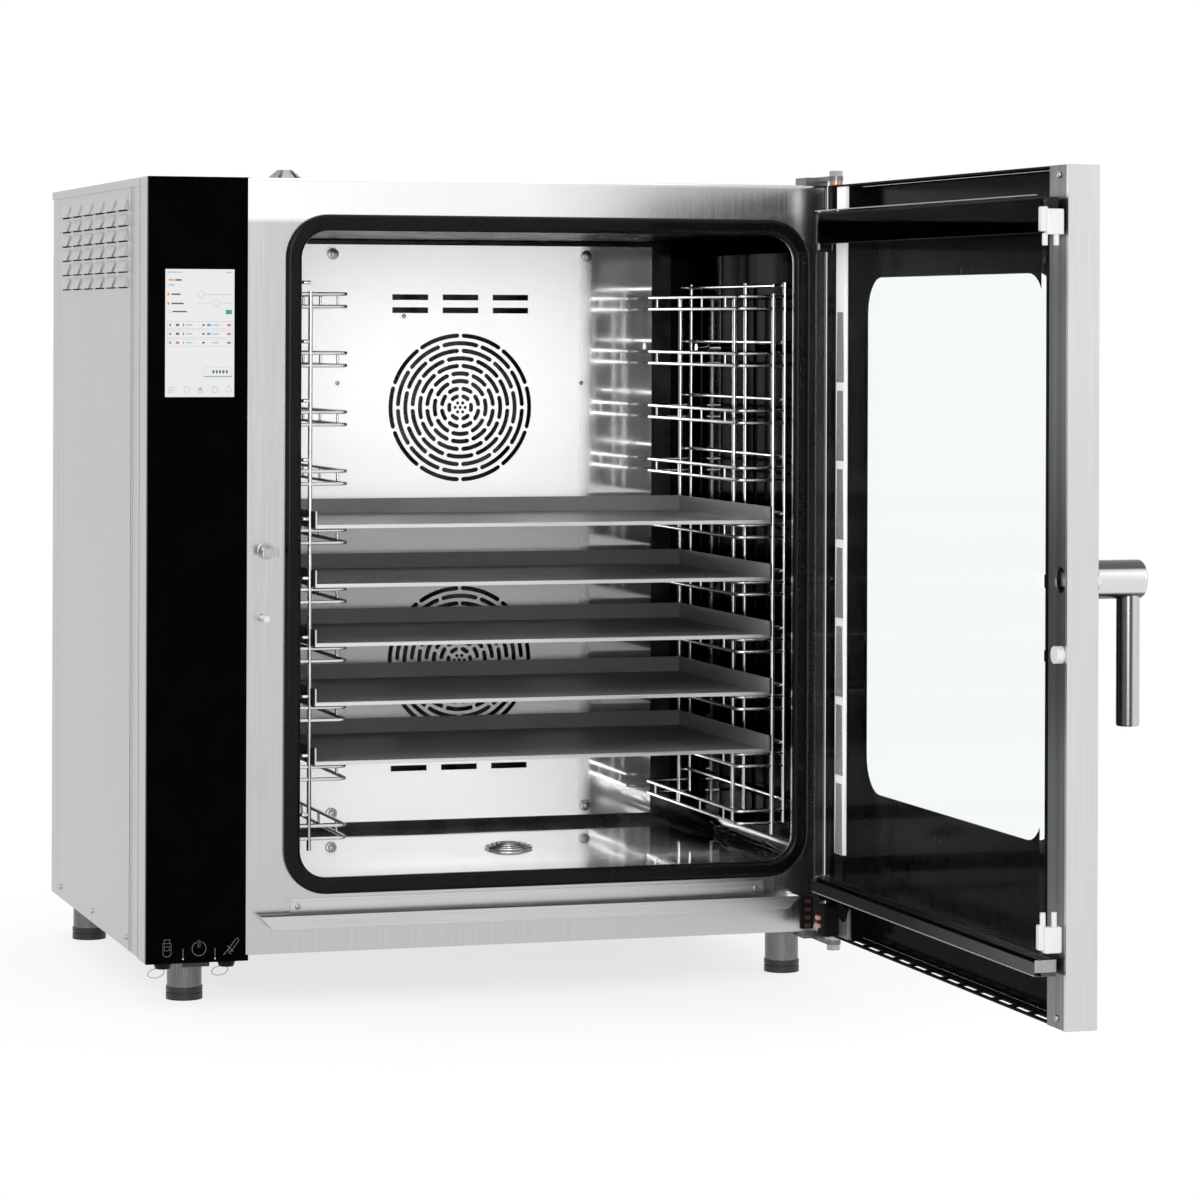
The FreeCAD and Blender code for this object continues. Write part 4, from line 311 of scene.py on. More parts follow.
cabinet_steel = brushed("brushed_stainless", (0.43, 0.50), (0.28, 0.38), UPRIGHT, (0.06, 0.4))
frame_steel = brushed("front_frame_stainless", (0.50, 0.55), (0.16, 0.24), UPRIGHT, (0.015, 0.4))
gutter_steel = brushed("gutter_stainless", (0.53, 0.61), (0.20, 0.28), ACROSS, (0.03, 0.4))
door_steel = brushed("door_edge_stainless", (0.62, 0.68), (0.26, 0.36), UPRIGHT, (0.05, 0.4))
# The door channel's flange is a darker, streaked copy of the channel's steel: painted shade
flange_steel = brushed(
    "door_flange_stainless", (0.10, 0.28), (0.28, 0.40), FLANGE_STREAKS, (0.02, 0.4)
)
satin_steel = brushed("satin_stainless", (0.34, 0.44), (0.20, 0.32), DRAWN, (0.05, 0.3))
# The handle's steel is painted dark; the light bands on it further down are painted reflections
hub_steel = brushed("handle_hub_stainless", (0.09, 0.13), (0.20, 0.28), DRAWN, (0.01, 0.3))
lever_steel = brushed("handle_lever_stainless", (0.07, 0.11), (0.20, 0.28), DRAWN, (0.01, 0.3))
vent_steel = brushed("vent_stainless", (0.24, 0.34), (0.24, 0.34), DRAWN, (0.02, 0.3))
# Stainless painted darker as shade, for feet, hinge brackets, cap loops and seams
shade_steel = brushed("stainless_painted_shade", (0.12, 0.21), (0.26, 0.38), DRAWN, (0.05, 0.3))
# The cavity walls are painted nearly black with lighter streaks: painted reflection of the dark
# inside of the oven
wall_steel = brushed(
    "polished_wall_steel", (0.006, 0.026), (0.05, 0.11), WALL_GRAIN_AND_REFLECTIONS, (0.02, 2.0),
    Specular_Tint=shade(0.42),
)
tray_edge = brushed("bare_tray_edge", (0.55, 0.70), (0.25, 0.40), ACROSS, (0.08, 0.3))
lower_rail_painted_sheen = brushed(
    "lower_rail_painted_sheen", (0.004, 0.008), (0.44, 0.58), INWARD, (0.04, 0.3), metallic=0.0,
    Specular_IOR_Level=0.06,
)
pale_plate = brushed(
    "light_plate_end", (0.20, 0.28), (0.30, 0.44), UPRIGHT, (0.03, 0.3), metallic=0.6
)
copper = brushed(
    "drawn_copper", ((0.36, 0.12, 0.05), (0.52, 0.20, 0.09)), (0.24, 0.36), UPRIGHT, (0.08, 0.2)
)

floor_steel = rolled(
    "polished_floor_steel", (0.88, 0.94), (0.05, 0.08), 6.0, (0.05, 10.0), metallic=0.9
)
# A dark copy of the floor's steel for its right side: painted reflection of the dark right wall
floor_shade = rolled("polished_floor_shade", (0.03, 0.07), (0.05, 0.08), 6.0, (0.05, 10.0))
# The cavity ceiling is painted nearly black: painted shade
ceiling_steel = rolled(
    "polished_ceiling_steel", (0.008, 0.02), (0.20, 0.30), 5.0, (0.06, 10.0),
    Specular_Tint=shade(0.2),
)
baffle_steel = rolled("baffle_steel", (0.95, 0.98), (0.30, 0.34), 5.0, (0.02, 10.0), metallic=0.2)
# A darker, mirror-like copy of the baffle's steel for its right side: painted reflection
baffle_mirror = rolled(
    "baffle_steel_painted_reflection", (0.88, 0.94), (0.06, 0.10), 5.0, (0.04, 10.0), metallic=0.9
)
fan_steel = rolled("fan_steel", (0.05, 0.10), (0.24, 0.36), 30.0, (0.05, 1.0))
wire_steel = rolled("bright_wire", (0.60, 0.74), (0.10, 0.20), 160.0, (0.05, 1.0))

tray_coat = moulded("coated_tray", (0.10, 0.15), (0.32, 0.46), 1600.0, (0.10, 0.2), metallic=0.25)
rubber = moulded(
    "gasket_rubber", (0.002, 0.006), (0.14, 0.22), 900.0, (0.05, 0.2), Specular_IOR_Level=0.12
)
black_plastic = moulded("black_plastic", (0.008, 0.018), (0.36, 0.52), 1300.0, (0.15, 0.2))
white_plastic = moulded("white_plastic", (0.62, 0.70), (0.34, 0.46), 1100.0, (0.08, 0.2))
black_glass = moulded(
    "black_backed_glass", (0.0004, 0.001), (0.03, 0.07), 30.0, (0.01, 0.1), Specular_IOR_Level=0.012
)
black_enamel = moulded(
    "black_glass_print", (0.004, 0.008), (0.10, 0.14), 60.0, (0.003, 0.1), Specular_IOR_Level=0.006
)
black_paint = moulded(
    "black_painted_sheet", (0.004, 0.010), (0.45, 0.58), 1000.0, (0.08, 0.2),
    Specular_IOR_Level=0.02,
)
charcoal_rail = moulded(
    "charcoal_rail", (0.020, 0.032), (0.50, 0.62), 1000.0, (0.08, 0.2), Specular_IOR_Level=0.02
)
board_green = moulded(
    "circuit_board", ((0.01, 0.06, 0.02), (0.02, 0.10, 0.04)), (0.3, 0.5), 420.0, (0.1, 0.3)
)
wool = moulded(
    "mineral_wool", ((0.42, 0.35, 0.18), (0.62, 0.54, 0.32)), (0.9, 1.0), 260.0, (0.8, 4.0)
)
dark_steel = moulded(
    "oxidised_steel", (0.05, 0.09), (0.42, 0.58), 700.0, (0.15, 0.3), metallic=0.9
)
brass = moulded(
    "cast_brass", ((0.46, 0.31, 0.10), (0.60, 0.43, 0.16)), (0.26, 0.40), 800.0, (0.15, 0.3),
    metallic=1.0,
)
# Dim and bright copies of one copper: painted shade on the oven's contacts, painted light on the
# door's
dim_copper = moulded(
    "copper_in_painted_shade", ((0.035, 0.013, 0.008), (0.07, 0.026, 0.014)), (0.40, 0.55), 900.0, (0.1, 0.3),
    metallic=0.4,
)
bright_copper = moulded(
    "copper_with_painted_light", ((0.62, 0.30, 0.17), (0.76, 0.42, 0.28)), (0.30, 0.42), 900.0, (0.05, 0.3),
    metallic=0.5,
)
# The diffuser's faint glow is painted light that brightens the shaded white plastic
strip_white = moulded(
    "light_strip_diffuser", (0.86, 0.92), (0.30, 0.40), 700.0, (0.02, 0.2),
    Emission_Color=shade(0.95), Emission_Strength=0.28,
)
light_window = moulded("light_strip_window", (0.28, 0.36), (0.20, 0.32), 500.0, (0.05, 0.2))
door_glass = moulded(
    "door_glass", ((0.955, 0.975, 0.97), (0.955, 0.975, 0.97)), (0.0, 0.01), 6.0, (0.004, 0.1),
    **CLEAR,
)
pane_glass = moulded(
    "inner_pane_glass", ((0.965, 0.98, 0.975), (0.965, 0.98, 0.975)), (0.0, 0.01), 6.0,
    (0.004, 0.1), **CLEAR,
)

# Painted reflections: light and dark places painted into the steel's colour, where the real steel
# mirrors the room around it
# Painted reflection: the lower rail turns grey towards the door's free end
rail_tree = lower_rail_painted_sheen.node_tree
recolour(lower_rail_painted_sheen, ramp(rail_tree, coordinate(rail_tree, Y), -0.40, -0.76, 0.0, 1.0), 0.08)
# Painted highlight: the frame's head is lighter, fading out towards the right
frame_tree = frame_steel.node_tree
head_highlight_band = ramp(frame_tree, coordinate(frame_tree, Z), 0.846, 0.852, 0.0, 1.0)
head_highlight_fade = ramp(frame_tree, coordinate(frame_tree, X), 0.02, 0.26, 1.0, 0.0)
recolour(frame_steel, calc(frame_tree, "MULTIPLY", head_highlight_band, head_highlight_fade), 0.90)
# Painted reflection: a dark band down the frame's right side
add_band(frame_steel, X, 0.3675, 0.3770, 0.12)
# Painted reflection: a lighter band on the cavity walls
add_band(wall_steel, Y, depth(298.0), depth(350.0), 0.45)
# Painted reflection: a light band round the hub
add_band(hub_steel, Z, 0.4775, 0.5025, 0.72)
# Painted highlight on the lever: a thin light line and a lighter right half
add_band(lever_steel, X, 0.4255, 0.4285, 0.50)
add_band(lever_steel, X, 0.4300, 0.4450, 0.58)

# The pane rails: the lower one with its painted reflection, the upper one charcoal
rail_colour_and_sheen = split_by_axis("pane_rail_finish", lower_rail_painted_sheen, charcoal_rail, Z, 0.5)
# The channel's flange takes the dark copy: painted shade
channel_with_painted_shade = split_by_axis("door_channel_finish", door_steel, flange_steel, Y, depth(-695.0))
# The baffle's right side takes the mirror-like copy: painted reflection
baffle_finish = split_by_axis("baffle_finish", baffle_steel, baffle_mirror, X, 0.218, 0.010)
# The floor's right side takes the dark copy: painted reflection
floor_with_painted_reflection = split_by_axis("cavity_floor_finish", floor_steel, floor_shade, X, 0.285, 0.025)
tray_finish = split_by_axis("tray_finish", tray_edge, tray_coat, Y, depth(51.0))

node_materials = {
    cabinet_steel: (
        "base_pan", "left_side_panel", "right_side_panel", "top_cover", "rear_panel",
        "control_housing",
    ),
    frame_steel: ("front_frame",),
    gutter_steel: ("drip_gutter",),
    channel_with_painted_shade: ("door_edge_channel",),
    satin_steel: ("latch_striker", "hinge_pins"),
    hub_steel: ("handle_hub",),
    lever_steel: ("handle_lever",),
    vent_steel: ("vent_chimney",),
    shade_steel: ("foot_tubes", "hinge_brackets"),
    wall_steel: ("cavity_left_wall", "cavity_right_wall"),
    ceiling_steel: ("cavity_ceiling",),
    floor_with_painted_reflection: ("cavity_floor",),
    fan_steel: ("cavity_rear_wall", "fan_wheel_upper", "fan_wheel_lower"),
    baffle_finish: ("fan_baffle",),
    wire_steel: ("drain_pipe", "drain_strainer", "rack_left", "rack_right"),
    tray_finish: ("tray_1", "tray_2", "tray_3", "tray_4", "tray_5"),
    rubber: ("door_gasket", "usb_cap", "probe_cap"),
    black_plastic: (
        "foot_ends", "power_button", "touch_display", "cooling_fan_frame", "cooling_fan_rotor",
        "cable_gland", "door_switch",
    ),
    white_plastic: ("door_switch_plunger", "door_light", "switch_pad", "pane_clips"),
    black_glass: ("control_glass",),
    black_paint: ("door_top_plate", "door_bottom_plate", "door_hinge_post"),
    rail_colour_and_sheen: ("pane_rails",),
    board_green: ("power_board",),
    wool: ("cavity_insulation",),
    dark_steel: ("heating_elements", "fan_motors"),
    brass: ("water_valve",),
    copper: ("steam_pipe",),
    door_glass: ("door_outer_glass",),
    pane_glass: ("inner_pane",),
}
for material, names in node_materials.items():
    for name in names:
        nodes[name].data.materials.clear()
        nodes[name].data.materials.append(material)


# Mesh helpers

BLOCK_FACES = (
    (3, 2, 1, 0), (4, 5, 6, 7), (0, 1, 5, 4), (1, 2, 6, 5), (2, 3, 7, 6), (3, 0, 4, 7)
)
SHARP_ANGLE = math.radians(40)


class Shape:
    """Solids gathered into one piece, each with its own material."""

    def __init__(self, *materials):
        self.mesh = bmesh.new()
        self.materials = materials

    def _round(self, edges, size):
        bmesh.ops.bevel(
            self.mesh, geom=edges, offset=size * MM, segments=3, profile=0.5, affect="EDGES"
        )

    def _close(self, before, index, smooth):
        for face in self.mesh.faces:
            if face not in before:
                face.material_index = index
                face.smooth = smooth

    def block(self, low, high, place, bevel, index=0):
        before = set(self.mesh.faces)
        (x0, y0, z0), (x1, y1, z1) = low, high
        corners = [
            self.mesh.verts.new(place(x, y, z))
            for z in (z0, z1)
            for x, y in ((x0, y0), (x1, y0), (x1, y1), (x0, y1))
        ]
        for around in BLOCK_FACES:
            self.mesh.faces.new([corners[i] for i in around])
        if bevel:
            self._round([e for e in self.mesh.edges if all(v in corners for v in e.verts)], bevel)
        self._close(before, index, False)

    def rod(self, start, end, radius, far_radius, sides, bevel=0.0):
        before = set(self.mesh.faces)
        axis = end - start
        turn = Vector((0, 0, 1)).rotation_difference(axis).to_matrix().to_4x4()
        made = bmesh.ops.create_cone(
            self.mesh,
            cap_ends=True,
            segments=sides,
            radius1=radius * MM,
            radius2=far_radius * MM,
            depth=axis.length,
            matrix=Matrix.Translation((start + end) / 2) @ turn,
        )
        if bevel:
            corners = set(made["verts"])
            rims = []
            for edge in self.mesh.edges:
                own = all(v in corners for v in edge.verts)
                if own and any(len(f.verts) > 4 for f in edge.link_faces):
                    rims.append(edge)
            self._round(rims, bevel)
        self._close(before, 0, True)

    def prism(self, points, along, index=0):
        # A flat outline pushed along a direction
        before = set(self.mesh.faces)
        near = [self.mesh.verts.new(p) for p in points]
        far = [self.mesh.verts.new(p + along) for p in points]
        self.mesh.faces.new(near)
        self.mesh.faces.new(far[::-1])
        for i in range(len(points)):
            j = (i + 1) % len(points)
            self.mesh.faces.new((near[j], near[i], far[i], far[j]))
        self._close(before, index, False)

    def collar(self, outer, inner, along, index=0):
        # A plate between two closed outlines, pushed along a direction
        before = set(self.mesh.faces)
        edges = []
        for loop in (outer, inner):
            verts = [self.mesh.verts.new(p) for p in loop]
            edges += [self.mesh.edges.new((verts[i - 1], verts[i])) for i in range(len(verts))]
        filled = bmesh.ops.triangle_fill(self.mesh, use_beauty=True, edges=edges)
        faces = [g for g in filled["geom"] if isinstance(g, bmesh.types.BMFace)]
        grown = bmesh.ops.extrude_face_region(self.mesh, geom=faces, use_keep_orig=True)
        verts = [g for g in grown["geom"] if isinstance(g, bmesh.types.BMVert)]
        bmesh.ops.translate(self.mesh, verts=verts, vec=along)
        self._close(before, index, False)

    def made(self, name):
        # Points and faces get a fixed order, because bevels and fills leave them in any order
        bmesh.ops.recalc_face_normals(self.mesh, faces=self.mesh.faces)
        points = sorted(self.mesh.verts, key=lambda v: v.co[:])
        ranks = {v: i for i, v in enumerate(points)}
        faces = []
        for face in self.mesh.faces:
            around = [ranks[v] for v in face.verts]
            first = around.index(min(around))
            faces.append((around[first:] + around[:first], face.material_index, face.smooth))
        faces.sort()
        data = bpy.data.meshes.new(name)
        for material in self.materials:
            data.materials.append(material)
        data.from_pydata([v.co[:] for v in points], [], [around for around, _, _ in faces])
        for polygon, (_, index, smooth) in zip(data.polygons, faces):
            polygon.material_index = index
            polygon.use_smooth = smooth
        self.mesh.free()
        return bpy.data.objects.new(name, data)

    def place(self, name, body, slot, *replaced):
        piece = self.made(name)
        bpy.context.scene.collection.objects.link(piece)
        settle(piece, body, slot, *replaced)


def settle(piece, body, slot, *replaced):
    if any(face.use_smooth for face in piece.data.polygons):
        piece.data.set_sharp_from_angle(angle=SHARP_ANGLE)
    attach(piece, body)
    if replaced:
        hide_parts(*replaced)


def rounded_outline(x0, x1, z0, z1, y, radius, steps, place):
    points = []
    for x, z, start in (
        (x1 - radius, z1 - radius, 0),
        (x0 + radius, z1 - radius, 90),
        (x0 + radius, z0 + radius, 180),
        (x1 - radius, z0 + radius, 270),
    ):
        for i in range(steps + 1):
            angle = math.radians(start + 90 * i / steps)
            points.append(place(x + radius * math.cos(angle), y, z + radius * math.sin(angle)))
    return points


# Geometry node trees


def node_tool(name, inputs):
    tree = bpy.data.node_groups.new(name, "GeometryNodeTree")
    tree.interface.new_socket("Geometry", in_out="INPUT", socket_type="NodeSocketGeometry")
    for label, kind in inputs:
        tree.interface.new_socket(label, in_out="INPUT", socket_type=kind)
    tree.interface.new_socket("Geometry", in_out="OUTPUT", socket_type="NodeSocketGeometry")
    return tree, tree.nodes.new("NodeGroupInput"), tree.nodes.new("NodeGroupOutput")


def make_wire_tool():
    # Round wire along the edges of a mesh, with rounded corners
    tree, inlet, outlet = node_tool(
        "bent_wire",
        [
            ("Radius", "NodeSocketFloat"),
            ("Bend", "NodeSocketFloat"),
            ("Sides", "NodeSocketInt"),
            ("Material", "NodeSocketMaterial"),
        ],
    )
    curve = tree.nodes.new("GeometryNodeMeshToCurve")
    bend = tree.nodes.new("GeometryNodeFilletCurve")
    bend.mode = "POLY"
    bend.inputs["Count"].default_value = 5
    bend.inputs["Limit Radius"].default_value = True
    circle = tree.nodes.new("GeometryNodeCurvePrimitiveCircle")
    sweep = tree.nodes.new("GeometryNodeCurveToMesh")
    sweep.inputs["Fill Caps"].default_value = True
    smooth = tree.nodes.new("GeometryNodeSetShadeSmooth")
    finish = tree.nodes.new("GeometryNodeSetMaterial")
    for source, target in (
        (inlet.outputs["Geometry"], curve.inputs["Mesh"]),
        (curve.outputs[0], bend.inputs["Curve"]),
        (inlet.outputs["Bend"], bend.inputs["Radius"]),
        (inlet.outputs["Sides"], circle.inputs["Resolution"]),
        (inlet.outputs["Radius"], circle.inputs["Radius"]),
        (bend.outputs[0], sweep.inputs["Curve"]),
        (circle.outputs[0], sweep.inputs["Profile Curve"]),
        (sweep.outputs[0], smooth.inputs["Geometry"]),
        (smooth.outputs[0], finish.inputs["Geometry"]),
        (inlet.outputs["Material"], finish.inputs["Material"]),
        (finish.outputs[0], outlet.inputs["Geometry"]),
    ):
        tree.links.new(source, target)
    return tree


def make_repeat_tool():
    # One small piece set at every point of a mesh, turned as asked
    tree, inlet, outlet = node_tool(
        "repeat_piece",
        [
            ("Piece", "NodeSocketObject"),
            ("Turn", "NodeSocketRotation"),
            ("Material", "NodeSocketMaterial"),
        ],
    )
    info = tree.nodes.new("GeometryNodeObjectInfo")
    points = tree.nodes.new("GeometryNodeMeshToPoints")
    spread = tree.nodes.new("GeometryNodeInstanceOnPoints")
    real = tree.nodes.new("GeometryNodeRealizeInstances")
    finish = tree.nodes.new("GeometryNodeSetMaterial")
    for source, target in (
        (inlet.outputs["Geometry"], points.inputs["Mesh"]),
        (inlet.outputs["Piece"], info.inputs["Object"]),
        (points.outputs[0], spread.inputs["Points"]),
        (info.outputs["Geometry"], spread.inputs["Instance"]),
        (inlet.outputs["Turn"], spread.inputs["Rotation"]),
        (spread.outputs[0], real.inputs["Geometry"]),
        (real.outputs[0], finish.inputs["Geometry"]),
        (inlet.outputs["Material"], finish.inputs["Material"]),
        (finish.outputs[0], outlet.inputs["Geometry"]),
    ):
        tree.links.new(source, target)
    return tree


WIRE_TOOL = make_wire_tool()
REPEAT_TOOL = make_repeat_tool()


def worked(name, verts, edges, tool, values):
    # A piece made by a node tree and kept as a plain mesh
    data = bpy.data.meshes.new(name + "_path")
    data.from_pydata([tuple(v) for v in verts], edges, [])
    piece = bpy.data.objects.new(name, data)
    bpy.context.scene.collection.objects.link(piece)
    modifier = piece.modifiers.new("form", "NODES")
    modifier.node_group = tool
    for item in tool.interface.items_tree:
        if item.in_out == "INPUT" and item.name in values:
            modifier[item.identifier] = values[item.name]
    depsgraph = bpy.context.evaluated_depsgraph_get()
    made = bpy.data.meshes.new_from_object(piece.evaluated_get(depsgraph), depsgraph=depsgraph)
    piece.modifiers.clear()
    piece.data = made
    return piece


def wires(name, paths, radius, bend, sides, material, body, slot, *replaced):
    # Each path is a list of points and whether it closes on itself
    verts = []
    edges = []
    for points, closed in paths:
        first = len(verts)
        verts += points
        edges += [(first + i, first + i + 1) for i in range(len(points) - 1)]
        if closed:
            edges.append((len(verts) - 1, first))
    values = {"Radius": radius * MM, "Bend": bend * MM, "Sides": sides, "Material": material}
    settle(worked(name, verts, edges, WIRE_TOOL, values), body, slot, *replaced)


def repeats(name, form, places, turn, material, body, slot):
    values = {"Piece": form, "Turn": turn, "Material": material}
    settle(worked(name, places, [], REPEAT_TOOL, values), body, slot)


def turned(degrees):
    return Matrix.Rotation(math.radians(degrees), 3, "Z").to_euler()


# Tray racks of round bent wire

RACK_POST = 270.0
RACK_OUTER = 284.0
RACK_REACH = 228.0
RACK_FRONT = 57.0
RACK_MIDDLE = 192.0
RACK_BACK = 391.0
RACK_PITCH = 65.0
RACK_FIRST = 178.0
RACK_LEVELS = 10
RACK_LAST = RACK_FIRST + (RACK_LEVELS - 1) * RACK_PITCH
LOOP_HALF = 6.9
LOOP_BEND = 9.0
KEEPER_RISE = 19.5
POST_LOW = RACK_FIRST - 20.0
POST_HIGH = RACK_LAST + LOOP_HALF + 3.0
OUTER_LIFT = 13.0
LINK_COUNT = 4
LINK_FIRST = RACK_FRONT + 46.0
LINK_PITCH = 83.6
POST_WIRE = 2.5
LOOP_WIRE = 2.0
LINK_WIRE = 1.5


def rack_turn(ends, run, z):
    # A wire that runs along the rack's depth and turns to the side at both ends
    corners = ((ends, RACK_FRONT), (run, RACK_FRONT), (run, RACK_BACK), (ends, RACK_BACK))
    return [cab(x, y, z) for x, y in corners], False


for side, word in ((-1, "left"), (1, "right")):
    post = CAVITY_MIDDLE + side * RACK_POST
    outer = CAVITY_MIDDLE + side * RACK_OUTER
    reach = CAVITY_MIDDLE + side * RACK_REACH
    posts = []
    loops = []
    links = []
    for y in (RACK_FRONT, RACK_MIDDLE, RACK_BACK):
        for x, lift in ((post, 0.0), (outer, OUTER_LIFT)):
            posts.append(([cab(x, y, POST_LOW + lift), cab(x, y, POST_HIGH + lift)], False))
    for level in range(RACK_LEVELS):
        z = RACK_FIRST + level * RACK_PITCH
        loops.append(rack_turn(outer, reach, z - LOOP_HALF))
        loops.append(rack_turn(outer, reach, z + LOOP_HALF))
        loops.append(rack_turn(post, outer, z + KEEPER_RISE))
        for i in range(LINK_COUNT):
            y = LINK_FIRST + i * LINK_PITCH
            links.append(([cab(reach, y, z - LOOP_HALF), cab(reach, y, z + LOOP_HALF)], False))
    rack = "rack_" + word
    finish = (wire_steel, "oven", "bright_wire")
    wires("rack_loops_" + word, loops, LOOP_WIRE, LOOP_BEND, 12, *finish, rack)
    wires("rack_posts_" + word, posts, POST_WIRE, 0.0, 12, *finish, rack)
    wires("rack_links_" + word, links, LINK_WIRE, 0.0, 10, *finish)


# Drain strainer: a low dome of wire rings and spokes

DRAIN_X, DRAIN_Y = 464.0, 209.0
STRAINER_SEAT = 133.3
STRAINER_WIRE = 1.3
STRAINER_BEND = 3.0
STRAINER_RINGS = ((26.6, 1.4), (22.0, 3.0), (16.5, 4.6), (11.0, 5.4), (5.5, 5.6))
STRAINER_SPOKE = ((-26.0, 1.6), (-16.0, 4.7), (0.0, 5.7), (16.0, 4.7), (26.0, 1.6))

strainer_paths = [
    (ring(DRAIN_X, DRAIN_Y, STRAINER_SEAT + rise, radius, 40), True)
    for radius, rise in STRAINER_RINGS
]
for degrees in (0, 45, 90, 135):
    along_x = math.cos(math.radians(degrees))
    along_y = math.sin(math.radians(degrees))
    spoke = [
        cab(DRAIN_X + reach * along_x, DRAIN_Y + reach * along_y, STRAINER_SEAT + rise)
        for reach, rise in STRAINER_SPOKE
    ]
    strainer_paths.append((spoke, False))
wires(
    "strainer_dome", strainer_paths, STRAINER_WIRE, STRAINER_BEND, 10, wire_steel, "strainer",
    "polished_steel", "drain_strainer",
)


# Door: printed border on the outer glass, light strip, rail trim and clips

GLASS_LEFT, GLASS_RIGHT = 158.3, 776.7
GLASS_LOW, GLASS_HIGH = 58.3, 891.2
GLASS_BACK = -62.3
WINDOW = (229.0, 717.0, 222.0, 790.0)
WINDOW_CORNER = 40.0
PRINT_DEPTH = 0.4


def door_step(y):
    # A direction through the door
    return leaf(0, y, 0) - leaf(0, 0, 0)


border = Shape(black_enamel)
border.collar(
    [
        leaf(GLASS_LEFT, GLASS_BACK, GLASS_LOW),
        leaf(GLASS_RIGHT, GLASS_BACK, GLASS_LOW),
        leaf(GLASS_RIGHT, GLASS_BACK, GLASS_HIGH),
        leaf(GLASS_LEFT, GLASS_BACK, GLASS_HIGH),
    ],
    rounded_outline(*WINDOW, GLASS_BACK, WINDOW_CORNER, 12, leaf),
    door_step(PRINT_DEPTH),
)
border.place("door_glass_border", "door", "black_glass")

LIGHT_LEFT, LIGHT_RIGHT = 728.0, 755.5
LIGHT_FRONT, LIGHT_BACK = -38.0, -43.0
LIGHT_FACE = LIGHT_FRONT - 0.6
PLATE_LEFT = 714.0
LIGHT_ENDS = (58.0, 92.0, 150.0, 891.5)
LIGHT_HOOK = ((743.0, 83.5), (722.0, 77.5), (709.0, 92.5), (730.0, 97.5))
GLOWING, UNLIT, PLATE = range(3)

# The strip's white middle carries the painted glow
strip = Shape(strip_white, black_paint, pale_plate)
for left, low, high, finish in zip(
    (PLATE_LEFT, LIGHT_LEFT, LIGHT_LEFT), LIGHT_ENDS, LIGHT_ENDS[1:], (PLATE, UNLIT, GLOWING)
):
    strip.block((left, LIGHT_BACK, low), (LIGHT_RIGHT, LIGHT_FACE, high), leaf, 0.8, finish)
# A black liner closes the gap between the strip and the glass
strip.block((726.4, -62.0, 58.5), (728.1, LIGHT_BACK + 0.4, 891.0), leaf, 0.2, UNLIT)
strip.prism([leaf(x, LIGHT_FRONT, z) for x, z in LIGHT_HOOK], door_step(3.0), UNLIT)
strip.place("light_strip_body", "door", "white_plastic", "door_light")

WINDOW_HALF = 39.0
WINDOW_OUTLINE = (
    (-11.5, -WINDOW_HALF), (11.5, -WINDOW_HALF), (8.5, WINDOW_HALF), (-8.5, WINDOW_HALF)
)
WINDOW_X, WINDOW_TOP = 740.6, 713.0
WINDOW_PITCH = 87.2
WINDOW_COUNT = 7

window = Shape()
window.prism([plain(x, -0.5, z) for x, z in WINDOW_OUTLINE], plain(0, 1.0, 0))
window_form = window.made("light_window_form")
window_places = [
    leaf(WINDOW_X, LIGHT_FRONT - 0.5, WINDOW_TOP - i * WINDOW_PITCH) for i in range(WINDOW_COUNT)
]
repeats(
    "light_strip_windows", window_form, window_places, turned(90), light_window, "door",
    "white_plastic",
)
bpy.data.objects.remove(window_form)

TAB_HALF = 10.0
CHARCOAL, SATIN, LOWER_RAIL_SHEEN, TOP_EDGE_HIGHLIGHT = range(4)

trim = Shape(charcoal_rail, satin_steel, lower_rail_painted_sheen, pale_plate)
for x in (431.0, 196.0, 663.0):
    trim.block(
        (x - TAB_HALF, -19.0, 861.0), (x + TAB_HALF, -9.2, 864.6), leaf, 0.6, CHARCOAL
    )
for low, high, bevel, finish in (
    # End plates of the rails
    ((746.0, -31.2, 821.0), (752.6, -15.0, 864.6), 0.5, SATIN),
    ((746.0, -31.2, 107.2), (752.6, -15.0, 126.0), 0.5, SATIN),
    ((125.8, -31.4, 112.0), (128.0, -9.0, 124.4), 0.5, SATIN),
    # Strip along the pane's hinged edge
    ((748.0, -22.4, 125.0), (752.5, -14.4, 821.0), 0.4, CHARCOAL),
    # Painted highlight lines on the upper rail's top edge and under the lower rail, and the lower
    # rail's face with its painted reflection
    ((129.0, -9.6, 863.4), (746.0, -8.8, 864.6), 0.2, TOP_EDGE_HIGHLIGHT),
    ((128.5, -9.8, 109.5), (749.0, -8.9, 121.5), 0.3, LOWER_RAIL_SHEEN),
    ((128.5, -9.9, 108.3), (749.0, -8.6, 109.6), 0.2, SATIN),
):
    trim.block(low, high, leaf, bevel, finish)
trim.place("pane_rail_trim", "pane", "stainless")

CLIP_RIGHT = 124.4
PEG_X, PEG_RADIUS = 118.0, 2.8

clips = Shape(white_plastic)
for low, high, peg_low, peg_high in ((825.5, 850.5, 815.0, 826.5), (132.0, 157.5, 156.5, 171.5)):
    clips.block((114.2, -32.0, low), (CLIP_RIGHT, -14.0, high), leaf, 1.6)
    clips.block((116.0, -16.0, low + 3.0), (CLIP_RIGHT, -8.6, high + 2.0), leaf, 1.4)
    for y in (-13.2, -25.0):
        foot, tip = leaf(PEG_X, y, peg_low), leaf(PEG_X, y, peg_high)
        clips.rod(foot, tip, PEG_RADIUS, PEG_RADIUS, 20, 0.5)
clips.place("pane_clip_bodies", "pane", "white_plastic", "pane_clips")


# Screen picture: plain bars and signs, no letters. Places go from 0 to 1 across and down the screen

